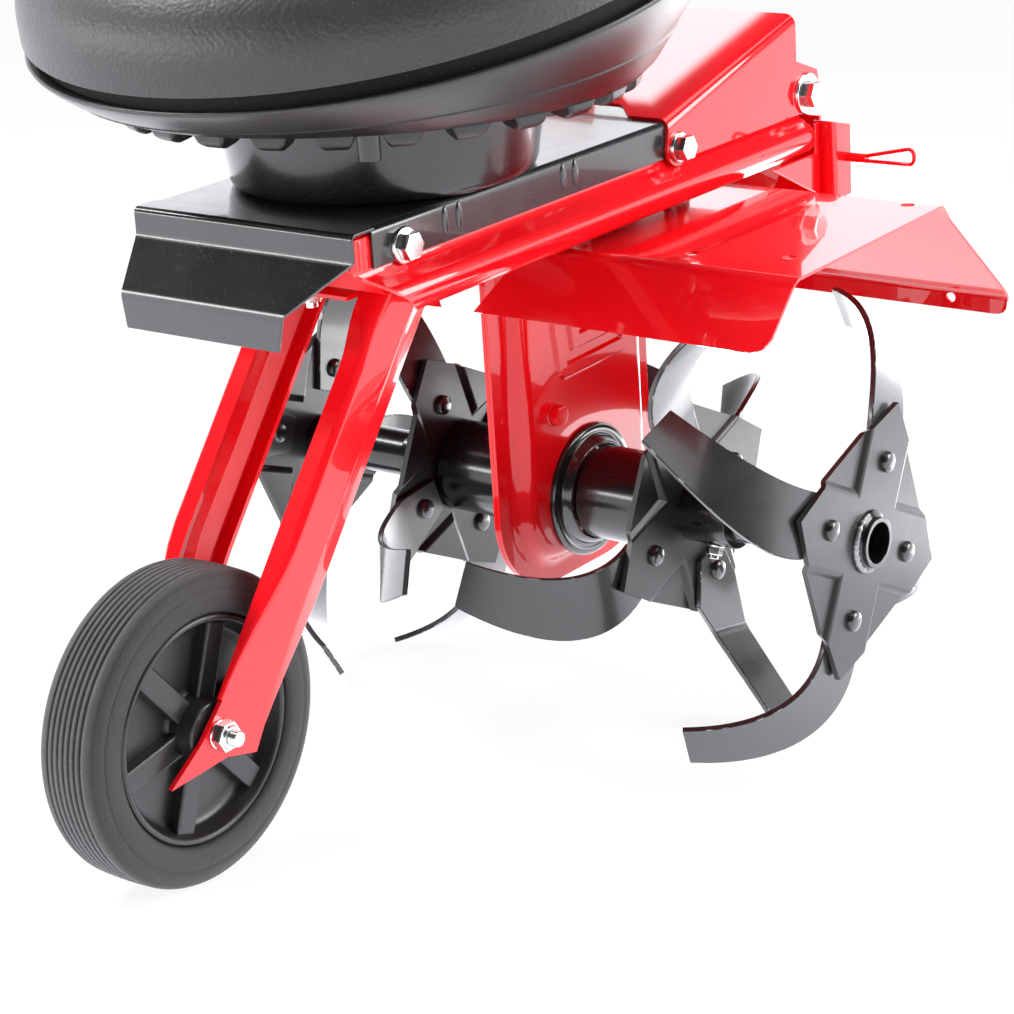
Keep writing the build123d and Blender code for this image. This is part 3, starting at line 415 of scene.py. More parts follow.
for side, hand in ((1, "left"), (-1, "right")):
    shape = bmesh.new()
    outline = [(-flange_out, flange_top), (-flange_out, flange_low)]
    outline += [(-y, z) for y, z in reversed(outline)]
    corners = [shape.verts.new((seam_x, case_middle + y, z)) for y, z in outline]
    shape.faces.new(corners)
    bmesh.ops.bevel(shape, geom=corners[1:3], offset=flange_corner, offset_type="OFFSET", segments=14,
                    profile=0.5, affect="VERTICES", material=-1)
    outwards(shape)
    face = shape.faces[:][0]
    if face.normal.x < 0:
        face.normal_flip()
    bmesh.ops.inset_region(shape, faces=[face], thickness=flange_width, depth=0.0, use_even_offset=True,
                           use_boundary=True)
    bmesh.ops.inset_region(shape, faces=[face], thickness=wall_slope, depth=face_x - seam_x,
                           use_even_offset=True)
    shape.normal_update()
    press_lines = [e for e in shape.edges if e.is_manifold and e.calc_face_angle() > 0.4
                   and abs(e.verts[0].co.x - e.verts[1].co.x) < 0.01]
    round_edges(shape, press_lines, press_bend)
    seam = [e for e in shape.edges if e.is_boundary]
    pull(shape, bmesh.ops.extrude_edge_only(shape, edges=seam), (-seam_thick, 0, 0))
    rings = []
    for inset, x in band_steps:
        ring = rounded(bands, inset, max(band_corner - inset, band_tight))
        rings.append([shape.verts.new((face_x + x, *point)) for point in ring])
    for lower, upper in zip(rings, rings[1:]):
        for k in range(len(lower)):
            shape.faces.new((lower[k - 1], lower[k], upper[k], upper[k - 1]))
    shape.faces.new(rings[-1])
    if side < 0:
        bmesh.ops.scale(shape, vec=(-1, 1, 1), verts=shape.verts)
        bmesh.ops.reverse_faces(shape, faces=shape.faces)
    case = add_piece(f"case_half_{hand}", shape, case_red, edge=0.6)
    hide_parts(f"gear_case_{hand}")
    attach(case, "chassis")


# Case bolts: one washer-faced hexagon bolt on each side of the case, painted over in
# red with the case.
thread_pitch = 1.2


def hex_bolt(shape, place, flats, height, washer=0.0, washer_thick=0.0, stub=0.0, stub_r=4.0):
    """Bolt head or nut that stands on z = 0 of its place, with a washer face and a thread end."""
    base = 0.0
    if washer:
        seat = place @ Matrix.Translation((0, 0, washer_thick / 2))
        add_rod(shape, seat, washer, washer_thick, washer - 0.5, 40)
        base = washer_thick
    stand = place @ Matrix.Translation((0, 0, base + height / 2))
    head_r = flats / 1.732
    head = bmesh.ops.create_cone(shape, cap_ends=True, segments=6, radius1=head_r, radius2=head_r,
                                 depth=height, matrix=stand)
    across = place.to_3x3() @ Vector((0, 0, 1))
    top = [f for f in {f for v in head["verts"] for f in v.link_faces} if len(f.verts) == 6]
    top.sort(key=lambda f: f.calc_center_median().dot(across))
    lid = top[-1]
    bmesh.ops.inset_region(shape, faces=[lid], thickness=flats * 0.09, depth=0.0, use_even_offset=True)
    bmesh.ops.translate(shape, vec=across * flats * 0.04, verts=lid.verts)
    for k in range(int(stub / thread_pitch)):
        turn = Matrix.Translation((0, 0, base + height + thread_pitch * k + thread_pitch / 2))
        add_rod(shape, place @ turn, stub_r, thread_pitch, stub_r - 0.45)


def facing(side, x, y, z):
    """Place on a side wall, looking outwards."""
    return Matrix.Translation((side * x, y, z)) @ Matrix.Rotation(side * math.pi / 2, 4, "Y")


shape = bmesh.new()
for side in (1, -1):
    hex_bolt(shape, facing(side, face_x - 0.2, -28.5, 50.0), flats=10.0, height=4.4, washer=6.6,
             washer_thick=1.6)
case_bolts = add_piece("case_bolts_painted", shape, case_red, edge=0.35)
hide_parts("case_bolts")
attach(case_bolts, "chassis")


# Axle flanges: black pressed rings that hold the axle seals on the case faces, stepped
# in towards the hub tubes.
def turn_line(shape, points, axis, steps, closed=False, centre=(0, 0, 0)):
    """Ring turned from a line of points, or from a closed outline."""
    edges = chain(shape, points)
    verts = list(dict.fromkeys(v for e in edges for v in e.verts))
    if closed:
        edges.append(shape.edges.new((verts[-1], verts[0])))
    bmesh.ops.spin(shape, geom=verts + edges, cent=centre, axis=axis, angle=math.tau, steps=steps,
                   use_merge=True)


def clean_up(shape):
    """Merges doubled points and turns the faces outwards."""
    bmesh.ops.remove_doubles(shape, verts=shape.verts, dist=0.001)
    outwards(shape)


across_axis, up_axis = (1, 0, 0), (0, 0, 1)
flange_black = black_paint("flange_paint", (0.0085, 0.0085, 0.0095, 1), gloss=0.12, coat=0.6)
flange_line = [(11.0, 36.0), (13.0, 36.0), (14.2, 34.6), (14.4, 32.4), (13.6, 31.0), (14.2, 29.6),
               (16.6, 28.6), (18.4, 27.6), (19.0, 26.6), (19.0, 25.6), (12.0, 25.6)]
shape = bmesh.new()
for side in (1, -1):
    turn_line(shape, [(side * x, 0, r) for x, r in flange_line], across_axis, 72)
clean_up(shape)
flanges = add_piece("axle_flange_rings", shape, flange_black, edge=0.5)
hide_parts("axle_flanges")
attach(flanges, "chassis")


# Motor base: glossy moulded neck that stands on the deck and widens upwards, with four
# screw bosses. The can, windings, shaft and fan inside are metal, lacquered or plastic.
base_black = black_paint("neck_plastic", (0.0070, 0.0070, 0.0080, 1), gloss=0.16, coat=0.2, grain=0.03)
fan_plastic = black_paint("fan_plastic", (0.06, 0.06, 0.06, 1), gloss=0.45, coat=0.0)
winding = bare_metal("lacquered_winding", (0.32, 0.16, 0.09, 1), gloss=0.35)
copper = bare_metal("commutator_copper", (0.72, 0.36, 0.20, 1), gloss=0.25)
motor_y = -136.5
boss_turn, boss_out, boss_z, boss_tall, boss_low_r, boss_top_r = 36, 80.0, 235.5, 21.0, 5.2, 5.6
neck_line = [(65.0, 202.1), (70.4, 202.6), (73.0, 204.6), (74.4, 208.0), (74.9, 212.0), (80.6, 246.0),
             (77.6, 246.0), (71.9, 212.0), (65.0, 205.0)]
shape = bmesh.new()
turn_line(shape, [(r, 0, z) for r, z in neck_line], up_axis, 96, closed=True)
bmesh.ops.remove_doubles(shape, verts=shape.verts, dist=0.001)
for k in range(4):
    turn = Matrix.Rotation(math.radians(boss_turn + 90 * k), 4, "Z")
    add_rod(shape, turn @ Matrix.Translation((boss_out, 0, boss_z)), boss_low_r, boss_tall, boss_top_r, 32)
outwards(shape)
bmesh.ops.translate(shape, vec=(0, motor_y, 0), verts=shape.verts)
neck = add_piece("neck_shell", shape, base_black, edge=0.8)
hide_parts("motor_base")
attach(neck, "chassis")
for node in ("motor_can", "motor_bearings", "motor_shaft"):
    dress(node, steel)
for node in ("stator", "armature"):
    dress(node, winding)
dress("commutator", copper)
dress("cooling_fan", fan_plastic)


# Hood dish: satin moulded bowl that leans back over the neck, with a parting line and a
# ring of rounded lobes under its floor; the lobes are coloured darker as painted shade.
# Four screws hold it to the neck.
def moulded(name, colour, gloss, grain_size, grain):
    """Moulded plastic: pebbled mould grain and slightly uneven sheen."""
    finish, tones, where, shader = new_finish(name)
    clouds = tones.noise(where, 16.0, 3.0)
    sizes = {"Vector": where, "Scale": grain_size}
    pebbles = tones.node("TexVoronoi", {"feature": "SMOOTH_F1"}, sizes, "Distance")
    fine = tones.noise(where, grain_size * 1.7, 2.0)
    dust = tones.noise(where, 1700.0, 0.0).step(0.79, 0.85)
    light = tuple(c * 1.35 for c in colour[:3]) + (1,)
    plastic = clouds.step(0.3, 0.7).between(colour, light)
    (dust * 0.4).between(plastic, (0.3, 0.3, 0.31, 1)).into(shader, "Base Color")
    (fine * 0.14 + gloss).into(shader, "Roughness")
    (pebbles * 0.7 + fine * 0.3).bump(grain, 0.0005).into(shader, "Normal")
    return finish


dish_black = moulded("dish_plastic", (0.0082, 0.0082, 0.0092, 1), gloss=0.30, grain_size=1500.0, grain=0.10)
dish_lines = [(112.0, 246.3, 0.0), (126.0, 246.1, 0.0), (133.5, 251.5, 0.03), (143.5, 263.0, 0.085),
              (143.3, 263.7, 0.088), (143.9, 264.4, 0.09), (151.8, 274.0, 0.125), (158.6, 284.0, 0.16),
              (162.6, 291.0, 0.185), (163.5, 293.4, 0.19), (162.0, 294.2, 0.19), (157.5, 292.5, 0.19)]
shape = bmesh.new()
rings = []
for radius, height, slope in dish_lines:
    lean = Matrix.Translation((0, motor_y, height)) @ Matrix.Rotation(math.atan(slope), 4, "X")
    rings.append(bmesh.ops.create_circle(shape, segments=128, radius=radius, matrix=lean)["verts"])
for pair in zip(rings, rings[1:]):
    loops = [e for e in shape.edges if any(all(v in ring for v in e.verts) for ring in map(set, pair))]
    bmesh.ops.bridge_loops(shape, edges=loops)
outwards(shape)
dish = add_piece("dish_bowl", shape, dish_black, sheet=1.6, centred=-1.0)
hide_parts("hood_dish")
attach(dish, "chassis")

# The lobes take a darker copy of the dish plastic, as painted shade under the dish's floor.
lobe_shade_black = moulded("lobe_shade_plastic", (0.0055, 0.0055, 0.0062, 1), gloss=0.34, grain_size=1500.0, grain=0.10)
lobe_half, lobe_top, lobe_taper, lobe_count, lobe_turn = 10.0, 248.0, 0.045, 26, 10
lobe_line = [(111.0, lobe_top), (126.5, lobe_top), (125.0, 241.6), (119.5, 238.8), (111.0, 241.0)]
shape = bmesh.new()
lobe = shape.faces.new([shape.verts.new((x, -lobe_half, z)) for x, z in lobe_line])
pull(shape, bmesh.ops.extrude_face_region(shape, geom=[lobe]), (0, 2 * lobe_half, 0))
for v in shape.verts:
    v.co.y *= 1 - lobe_taper * (lobe_top - v.co.z)
outwards(shape)
round_edges(shape, shape.edges[:], 2.0, 3)
bmesh.ops.spin(shape, geom=whole(shape), cent=(0, 0, 0), axis=up_axis, angle=math.tau, steps=lobe_count,
               use_duplicate=True)
bmesh.ops.remove_doubles(shape, verts=shape.verts, dist=0.001)
first_turn = Matrix.Rotation(math.radians(lobe_turn), 3, "Z")
bmesh.ops.rotate(shape, cent=(0, 0, 0), matrix=first_turn, verts=shape.verts)
bmesh.ops.translate(shape, vec=(0, motor_y, 0), verts=shape.verts)
lobes = add_piece("dish_lobes", shape, lobe_shade_black)
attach(lobes, "chassis")


# Vent slot: moulded ring set back between dish and cap, coloured near black and matte
# as painted shade in the slot. It stands on the dish and carries the cap.
slot_shade_dark = moulded("slot_shade_plastic", (0.0012, 0.0012, 0.0014, 1), gloss=0.8, grain_size=900.0, grain=0.05)
dress("vent_ring", slot_shade_dark)


# Hood cap: textured matte dome of black plastic, moulded in one piece, which closes the
# motor from above and stands on the ring of the vent slot.
cap_black = moulded("cap_plastic", (0.0190, 0.0190, 0.0205, 1), gloss=0.38, grain_size=520.0, grain=0.60)
dress("hood_cap", cap_black, edge=0.8)


# Zinc-plated fasteners: hexagon flange bolts through cover and frame, large washers at
# the handle bolts, and the small screws and posts. Cold-headed and bright plated.
def plated(name, colour=(0.74, 0.74, 0.73, 1)):
    """Bright zinc with a little white bloom and fine scuffs."""
    finish, tones, where, shader = new_finish(name)
    bloom = tones.noise(where, 120.0, 4.0, 0.6)
    scuffs = tones.noise(where, 900.0, 3.0, 0.7)
    bloom.step(0.3, 0.75).between(colour, (0.60, 0.61, 0.60, 1)).into(shader, "Base Color")
    (bloom * 0.18 + scuffs * 0.12 + 0.10).into(shader, "Roughness")
    scuffs.bump(0.08, 0.0003).into(shader, "Normal")
    shader.inputs["Metallic"].default_value = 1.0
    return finish


zinc = plated("zinc_plate")
deck_bolt, rear_bolt = (-205.0, 189.5), (137.0, 191.0)
cheek_out, nut_x, rear_nut_x = 68.1, 57.4, 62.4
shape = bmesh.new()
for side in (1, -1):
    hex_bolt(shape, facing(side, nose_half, *deck_bolt), flats=12.0, height=5.0, washer=8.6, washer_thick=1.6)
    hex_bolt(shape, facing(-side, -nut_x, *deck_bolt), flats=10.0, height=5.0)
deck_bolts = add_piece("deck_bolt_heads", shape, zinc, edge=0.4)
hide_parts("deck_bolts")
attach(deck_bolts, "chassis")

shape = bmesh.new()
for side in (1, -1):
    hex_bolt(shape, facing(side, cheek_out, *lug), flats=12.0, height=5.2, washer=8.0, washer_thick=2.0)
    hex_bolt(shape, facing(-side, -nut_x, *lug), flats=10.0, height=5.0)
    hex_bolt(shape, facing(side, cheek_out, *rear_bolt), flats=13.0, height=5.6, washer=11.5,
             washer_thick=1.8)
    hex_bolt(shape, facing(-side, -rear_nut_x, *rear_bolt), flats=10.0, height=5.0)
handle_bolts = add_piece("handle_bolt_heads", shape, zinc, edge=0.4)
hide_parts("handle_bolts")
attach(handle_bolts, "chassis")
for node in ("hood_screws", "guard_posts", "fork_pivot", "bridge_nut"):
    dress(node, zinc, edge=0.4)

cross_x, cross_turn, cross_r, cross_run = 95.0, -205, 3.0, 48.0
seat = Matrix.Translation((0, 0, 17.0))
shape = bmesh.new()
for side in (1, -1):
    cross = Matrix.Rotation(math.radians(cross_turn), 4, "X") @ Matrix.Translation((side * cross_x, 0, 0))
    add_rod(shape, cross, cross_r, cross_run)
    hex_bolt(shape, cross @ seat, flats=8.0, height=4.0, washer=5.0, washer_thick=0.8, stub=2.6,
             stub_r=cross_r)
    hex_bolt(shape, cross @ Matrix.Rotation(math.pi, 4, "X") @ seat, flats=8.0, height=3.6, washer=5.0,
             washer_thick=0.8)
cross_bolts = add_piece("cross_bolts", shape, zinc, edge=0.35)
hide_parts("clevis_bolts")
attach(cross_bolts, "tines")


# Guards: one bent red sheet over the tines on each side, hung on posts under the frame,
# with a steep front apron, a sloped rear, a lip turned down and a few spare holes.
guard_red = red_enamel("guard_enamel", gloss=0.09)
guard_turns = [(math.hypot(15.0, 32.75), -65.4), (150.5, -44.2), (math.hypot(64.5, 62.75), -45.8)]
guard_bend, guard_start, guard_rise, guard_lip = 6.0, (-88.5, 121.0), 65.4, 10.5
bends, run, last_trim = [], 0.0, 0.0
for length, angle in guard_turns:
    trim = guard_bend * math.tan(math.radians(abs(angle)) / 2)
    arc = guard_bend * math.radians(abs(angle))
    bends.append((run + length - last_trim - trim, arc, angle))
    run += length - last_trim - trim + arc
    last_trim = trim
guard_end = run + guard_lip - last_trim
front_fold, mid_fold, rear_fold = [start + arc / 2 for start, arc, angle in bends]
guard_outline = [(10.5, 0.0), (170.0, 0.0), (174.2, 0.6), (177.8, 2.2), (180.6, 4.8), (182.5, 8.0),
                 (189.0, front_fold), (183.0, mid_fold), (181.5, mid_fold + 14.0), (186.0, rear_fold - 8.0),
                 (186.0, rear_fold + 2.0), (185.4, guard_end - 3.4), (183.9, guard_end - 1.5),
                 (181.4, guard_end - 0.4), (178.0, guard_end), (16.5, guard_end), (16.5, front_fold + 4.0),
                 (34.0, front_fold - 2.0)]
guard_holes = [(119.0, front_fold + 19.0, 3.6), (165.5, front_fold + 32.0, 3.6),
               (166.9, front_fold + 143.0, 3.6), (152.7, rear_fold + 4.2, 2.6)]
for side, hand in ((1, "left"), (-1, "right")):
    shape = bmesh.new()
    corners = [shape.verts.new((x, s, 0)) for x, s in guard_outline]
    edges = [shape.edges.new(pair) for pair in zip(corners, corners[1:] + corners[:1])]
    for x, s, radius in guard_holes:
        spot = Matrix.Translation((x, s, 0))
        hole = bmesh.ops.create_circle(shape, segments=20, radius=radius, matrix=spot)["verts"]
        edges += list({e for v in hole for e in v.link_edges})
    bmesh.ops.triangle_fill(shape, edges=edges, use_beauty=True, use_dissolve=False)
    cuts = [(start + arc * k / 6, angle / 7) for start, arc, angle in bends for k in range(7)]
    for s, angle in cuts:
        slice_at(shape, (0, s, 0), (0, 1, 0))
    flat = shape.verts.layers.float.new("flat")
    for v in shape.verts:
        v[flat] = v.co.y
    for s, angle in reversed(cuts):
        bmesh.ops.rotate(shape, cent=(0, s, 0), matrix=Matrix.Rotation(math.radians(angle), 3, "X"),
                         verts=[v for v in shape.verts if v[flat] > s + 0.001])
    rise = Matrix.Rotation(math.radians(guard_rise), 3, "X")
    bmesh.ops.rotate(shape, cent=(0, 0, 0), matrix=rise, verts=shape.verts)
    bmesh.ops.translate(shape, vec=(0, *guard_start), verts=shape.verts)
    bmesh.ops.scale(shape, vec=(side, 1, 1), verts=shape.verts)
    outwards(shape)
    guard = add_piece(f"guard_sheet_{hand}", shape, guard_red, sheet=1.5, edge=0.35)
    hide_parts(f"guard_{hand}")
    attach(guard, "chassis")


# Tine tubes: black painted hub tubes on the axle, sockets and the pinned outer tubes.
# Each outer plate is welded on with a silver-grey bead.
tube_black = black_paint("tube_paint", (0.0045, 0.0045, 0.0052, 1), gloss=0.11, coat=0.15)
for hand in ("left", "right"):
    dress(f"hub_tube_{hand}", tube_black, edge=0.5)
    dress(f"outer_tube_{hand}", tube_black, edge=0.5)

weld_grey = bare_metal("weld_bead", (0.30, 0.30, 0.31, 1), gloss=0.30, grain=60.0)
bead_x, bead_out, bead_r, bead_fade, bead_lumps = 183.2, 14.6, 2.1, 0.9, 0.36
shape = bmesh.new()
for side in (1, -1):
    bead_place = Matrix.Translation((side * bead_x, 0, bead_out)) @ Matrix.Rotation(math.pi / 2, 4, "X")
    bead = bmesh.ops.create_circle(shape, segments=10, radius=bead_r, matrix=bead_place)
    edges = list({e for v in bead["verts"] for e in v.link_edges})
    bmesh.ops.spin(shape, geom=bead["verts"] + edges, cent=(0, 0, 0), axis=across_axis, angle=math.tau,
                   steps=90, use_merge=True)
clean_up(shape)
for v in shape.verts:
    turn = math.atan2(v.co.y, v.co.z)
    fade = bead_fade * (1 - math.cos(turn + 1.9))
    v.co += v.normal * (bead_lumps * math.sin(turn * 30 + math.sin(turn * 5) * 2) - fade)
welds = add_piece("tine_welds", shape, weld_grey, finished=False)
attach(welds, "tines")


# Tine plates: stamped black star plates with four raised arms and sunken webs between
# them. The paint is worn to steel along the cut edges and the stamped steps.
def tine_paint(name, colour=(0.0078, 0.0078, 0.0088, 1), gloss=0.22, coat=0.13, level=0.42):
    """Satin black over steel, scuffed here and there."""
    finish, tones, where, shader = new_finish(name)
    clouds = tones.noise(where, 18.0, 4.0)
    peel = tones.noise(where, 700.0, 2.0)
    smears = tones.noise(where, 90.0, 5.0, 0.7)
    scuff = tones.noise(where, 55.0, 6.0, 0.75).step(0.72, 0.76)
    scuff = scuff * tones.noise(where, 600.0, 2.0).step(0.45, 0.6)
    light = tuple(c * 1.5 for c in colour[:3]) + (1,)
    paint = clouds.step(0.25, 0.75).between(colour, light)
    scuff.between(paint, (0.42, 0.42, 0.43, 1)).into(shader, "Base Color")
    (scuff * 0.8).into(shader, "Metallic")
    (smears * 0.2 + gloss).into(shader, "Roughness")
    peel.bump(0.06, 0.0005).into(shader, "Normal")
    shader.inputs["Coat Weight"].default_value = coat
    shader.inputs["Coat Roughness"].default_value = 0.12
    shader.inputs["Specular IOR Level"].default_value = level
    return finish


def worn_edge(name, share):
    """Edge where the paint is rubbed through to steel in patches."""
    finish, tones, where, shader = new_finish(name)
    patches = tones.noise(where, 130.0, 5.0, 0.7).step(0.62 - share, 0.70 - share)
    patches.between((0.012, 0.012, 0.013, 1), (0.30, 0.30, 0.31, 1)).into(shader, "Base Color")
    (patches * 0.7).into(shader, "Metallic")
    (0.36 - patches * 0.08).into(shader, "Roughness")
    shader.inputs["Specular IOR Level"].default_value = 0.3
    return finish


plate_black = tine_paint("plate_paint")
plate_edge = worn_edge("plate_worn_edge", 0.02)
arm_half, arm_shoulder, arm_tip, web_sink, step_round = 19.5, 54.4, 71.0, 2.6, 0.9
web_in, web_out = 22.4, 51.4
inner_x, inner_turn, inner_bore = 77.1, -19.5, 17.0
outer_x, outer_turns, outer_bore = 181.0, {"left": 26.0, "right": 20.5}, 13.0


def step_line(shape, x, near, far):
    """Three points round the corner between two arms."""
    return [shape.verts.new((x, y, z)) for y, z in ((near, far), (near, near), (far, near))]


for hand, side in (("left", 1), ("right", -1)):
    for ring, plate_x, turn, bore in (("inner", inner_x, inner_turn, inner_bore),
                                      ("outer", outer_x, outer_turns[hand], outer_bore)):
        shape = bmesh.new()
        bore_turns = [math.radians(a) for a in range(-45, 46, 9)]
        arm = [(bore * math.sin(a), bore * math.cos(a)) for a in bore_turns]
        arm += [(arm_half, arm_half), (arm_half, arm_shoulder), (0, arm_tip)]
        arm += [(-arm_half, arm_shoulder), (-arm_half, arm_half)]
        shape.faces.new([shape.verts.new((0, y, z)) for y, z in arm])
        top = step_line(shape, 0, arm_half, arm_shoulder)
        sunk = step_line(shape, -web_sink, web_in, web_out)
        shape.faces.new([top[0], top[1], sunk[1], sunk[0]])
        shape.faces.new([top[1], top[2], sunk[2], sunk[1]])
        shape.faces.new(sunk)
        bmesh.ops.spin(shape, geom=whole(shape), cent=(0, 0, 0), axis=across_axis, angle=math.tau, steps=4,
                       use_duplicate=True)
        bmesh.ops.remove_doubles(shape, verts=shape.verts, dist=0.01)
        outwards(shape)
        steps = [e for e in shape.edges if e.is_manifold and e.calc_face_angle() > 0.3]
        round_edges(shape, steps, step_round, 3)
        place = Matrix.Translation((plate_x, 0, 0)) @ Matrix.Rotation(math.radians(-turn), 4, "X")
        bmesh.ops.transform(shape, matrix=place, verts=shape.verts)
        bmesh.ops.scale(shape, vec=(side, 1, 1), verts=shape.verts)
        outwards(shape)
        plate = add_piece(f"{ring}_star_{hand}", shape, plate_black, plate_edge, sheet=3.0, edge=0.45, worn=1)
        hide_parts(f"{ring}_plate_{hand}")
        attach(plate, "tines")


# Blades: four curved steel blades on each plate, cut from flat bar, bent and twisted so
# that they slice sideways, one of them folded more sharply. Satin black, with the ground
# edges rubbed bright.
blade_black = tine_paint("blade_paint", (0.0092, 0.0094, 0.0105, 1), gloss=0.20, coat=0.5, level=0.6)
blade_edge = worn_edge("blade_worn_edge", 0.08)
lead_line = ((0.0, 54.0, -16.5), (0.0, 84.0, -24.0), (9.0, 117.0, -12.0), (58.0, 127.0, 21.2))
trail_line = ((0.0, 54.0, 16.5), (0.0, 88.5, 13.5), (27.0, 104.3, 26.0), (55.7, 111.4, 39.0))
root_out, root_half, blade_thick = 27.0, 10.0, 3.0
folded_lead = [(0.0, 54.0, -14.2), (0.0, 86.0, -11.7), (0.9, 89.2, -11.2), (2.6, 91.6, -10.3),
               (35.9, 129.9, 4.6)]
folded_trail = [(0.0, 50.4, 21.5), (0.0, 69.8, 15.7), (0.9, 73.2, 15.2), (2.6, 75.9, 15.8),
                (35.9, 122.5, 26.5)]
outward_arms = {"inner": (0, 2), "outer": ()}
for hand, side in (("left", 1), ("right", -1)):
    for ring, plate_x, turn in (("inner", inner_x, inner_turn), ("outer", outer_x, outer_turns[hand])):
        shape = bmesh.new()
        for arm in range(4):
            bend = 1 if arm in outward_arms[ring] else -1
            place = Matrix.Translation((plate_x + bend * blade_thick, 0, 0))
            place = Matrix.Rotation(math.radians(-turn - 90 * arm), 4, "X") @ place
            edges = []
            folded = ring == "inner" and side > 0 and arm == 2
            for line, fold, root in ((lead_line, folded_lead, -root_half),
                                     (trail_line, folded_trail, root_half)):
                curve = interpolate_bezier(*[Vector((x, y, r)) for x, r, y in line], 25)
                if folded:
                    curve = [Vector((x, y, r)) for x, r, y in fold]
                points = [Vector((0, root, root_out))] + list(curve)
                edges += chain(shape, [place @ Vector((bend * p.x, p.y, p.z)) for p in points])
            bmesh.ops.bridge_loops(shape, edges=edges)
        bmesh.ops.scale(shape, vec=(side, 1, 1), verts=shape.verts)
        outwards(shape)
        blades = add_piece(f"{ring}_blade_set_{hand}", shape, blade_black, blade_edge, sheet=blade_thick,
                           edge=0.5, worn=1)
        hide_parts(f"{ring}_blades_{hand}")
        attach(blades, "tines")


# Rivets: one round-headed steel rivet through each arm and blade, hammered over and
# painted in gloss black.
rivet_black = black_paint("rivet_paint", (0.010, 0.010, 0.011, 1), gloss=0.16, coat=0.7)
rivet_out, plate_half = 40.65, 1.5
rivet_head = [(0.0, 5.5), (1.9, 5.3), (2.6, 4.7), (3.0, 3.6), (3.3, 2.2), (3.3, 0.0)]
for hand, side in (("left", 1), ("right", -1)):
    shape = bmesh.new()
    for ring, plate_x, turn in (("inner", inner_x, inner_turn), ("outer", outer_x, outer_turns[hand])):
        for arm in range(4):
            bend = 1 if arm in outward_arms[ring] else -1
            place = Matrix.Translation((plate_x, 0, rivet_out))
            place = Matrix.Rotation(math.radians(-turn - 90 * arm), 4, "X") @ place
            for way in (-1, 1):
                start = way * plate_half + (bend * blade_thick if way == bend else 0)
                line = [place @ Vector((start + way * x, 0, r)) for x, r in rivet_head]
                turn_line(shape, line, across_axis, 24, centre=place.translation)
    bmesh.ops.scale(shape, vec=(side, 1, 1), verts=shape.verts)
    clean_up(shape)
    rivets = add_piece(f"rivet_heads_{hand}", shape, rivet_black)
    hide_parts(f"tine_rivets_{hand}")
    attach(rivets, "tines")


# Front fork: two red channel legs with a rounded front corner and a sloped rear edge, a
# little wider at the pivot. Each foot is pressed flat for the wheel bolt and cut to a
# point; a folded bridge joins the legs.
fork_red = red_enamel("fork_enamel", gloss=0.16, coat=0.8)
wheel_y, wheel_z, pivot_y, pivot_z = -309.4, -17.6, -163.3, 165.0
leg_run = math.hypot(pivot_y - wheel_y, pivot_z - wheel_z)
leg_up = Vector((0, pivot_y - wheel_y, pivot_z - wheel_z)).normalized()
leg_place = Matrix((Vector((1, 0, 0)), leg_up.cross(Vector((1, 0, 0))), leg_up)).transposed().to_4x4()
leg_place.translation = (0, wheel_y, wheel_z)
channel = Vector((26.0, 38.0, 13.6, 20.0, 3.6, 3.3, 13.0))
flat_foot = Vector((22.0, 24.5, 8.0, 28.4, 1.2, 0.1, 4.0))
foot_low, foot_high, foot_out = 14.0, 88.0, 24.5
foot_edge = [(24.5, 28.4, 0.0), (24.5, 10.4, -7.9), (18.5, -10.7, -32.0), (24.0, -9.0, -8.0)]
stations = [foot_low, 17.0, 21.0, 26.0, 32.0, 39.0, 47.0, 56.0, 66.0, 77.0, foot_high, 130.0, 172.0, 177.0,
            182.0, 187.0, 192.0, 197.0, 203.0, 212.0, leg_run + 13.0]
pivot_swell, pivot_round, edge_round = 4.9, 6.0, 1.6
turns = [math.radians(a) for a in range(0, 91, 15)]


def smooth(value, low, high):
    """0 below low, 1 above high, smooth between."""
    share = min(1.0, max(0.0, (value - low) / (high - low)))
    return share * share * (3 - 2 * share)


for side, hand in ((1, "left"), (-1, "right")):
    shape = bmesh.new()
    rows = []
    for up in stations:
        section = flat_foot.lerp(channel, smooth(up, foot_low, foot_high))
        inside, outside, front, rear, corner, drop, slope = section
        front += pivot_swell * smooth(up, 176.0, 206.0)
        corner += pivot_round * smooth(up, 180.0, 218.0)
        corner_x, corner_y = outside - corner, corner - front
        edge_x, edge_y = outside - drop - 1.5, rear - 1.8
        row = [(inside, -front)]
        row += [(corner_x + corner * math.sin(a), corner_y - corner * math.cos(a)) for a in turns]
        row += [(outside, rear - slope - 0.8), (outside - 0.06, rear - slope + 0.8)]
        row += [(edge_x + edge_round * math.cos(a), edge_y + edge_round * math.sin(a)) for a in turns[1:]]
        row += [(inside, rear)]
        rows.append([shape.verts.new((x, y, up)) for x, y in row])
    for lower, upper in zip(rows, rows[1:]):
        for k in range(len(lower) - 1):
            shape.faces.new((lower[k], lower[k + 1], upper[k + 1], upper[k]))
    right, under, tip, left = [shape.verts.new(point) for point in foot_edge]
    shape.faces.new([left, under, right, *reversed(rows[0][7:11])])
    shape.faces.new([tip, under, left])
    bmesh.ops.transform(shape, matrix=leg_place, verts=shape.verts)
    bmesh.ops.scale(shape, vec=(side, 1, 1), verts=shape.verts)
    outwards(shape)
    out_face = max(shape.faces, key=lambda f: abs(f.normal.x))
    if out_face.normal.x * side < 0:
        bmesh.ops.reverse_faces(shape, faces=shape.faces)
    leg = add_piece(f"fork_channel_{hand}", shape, fork_red, sheet=2.5, edge=0.5, centred=-1.0)
    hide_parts(f"fork_leg_{hand}")
    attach(leg, "front_fork")
dress("fork_bridge", fork_red, edge=0.5)


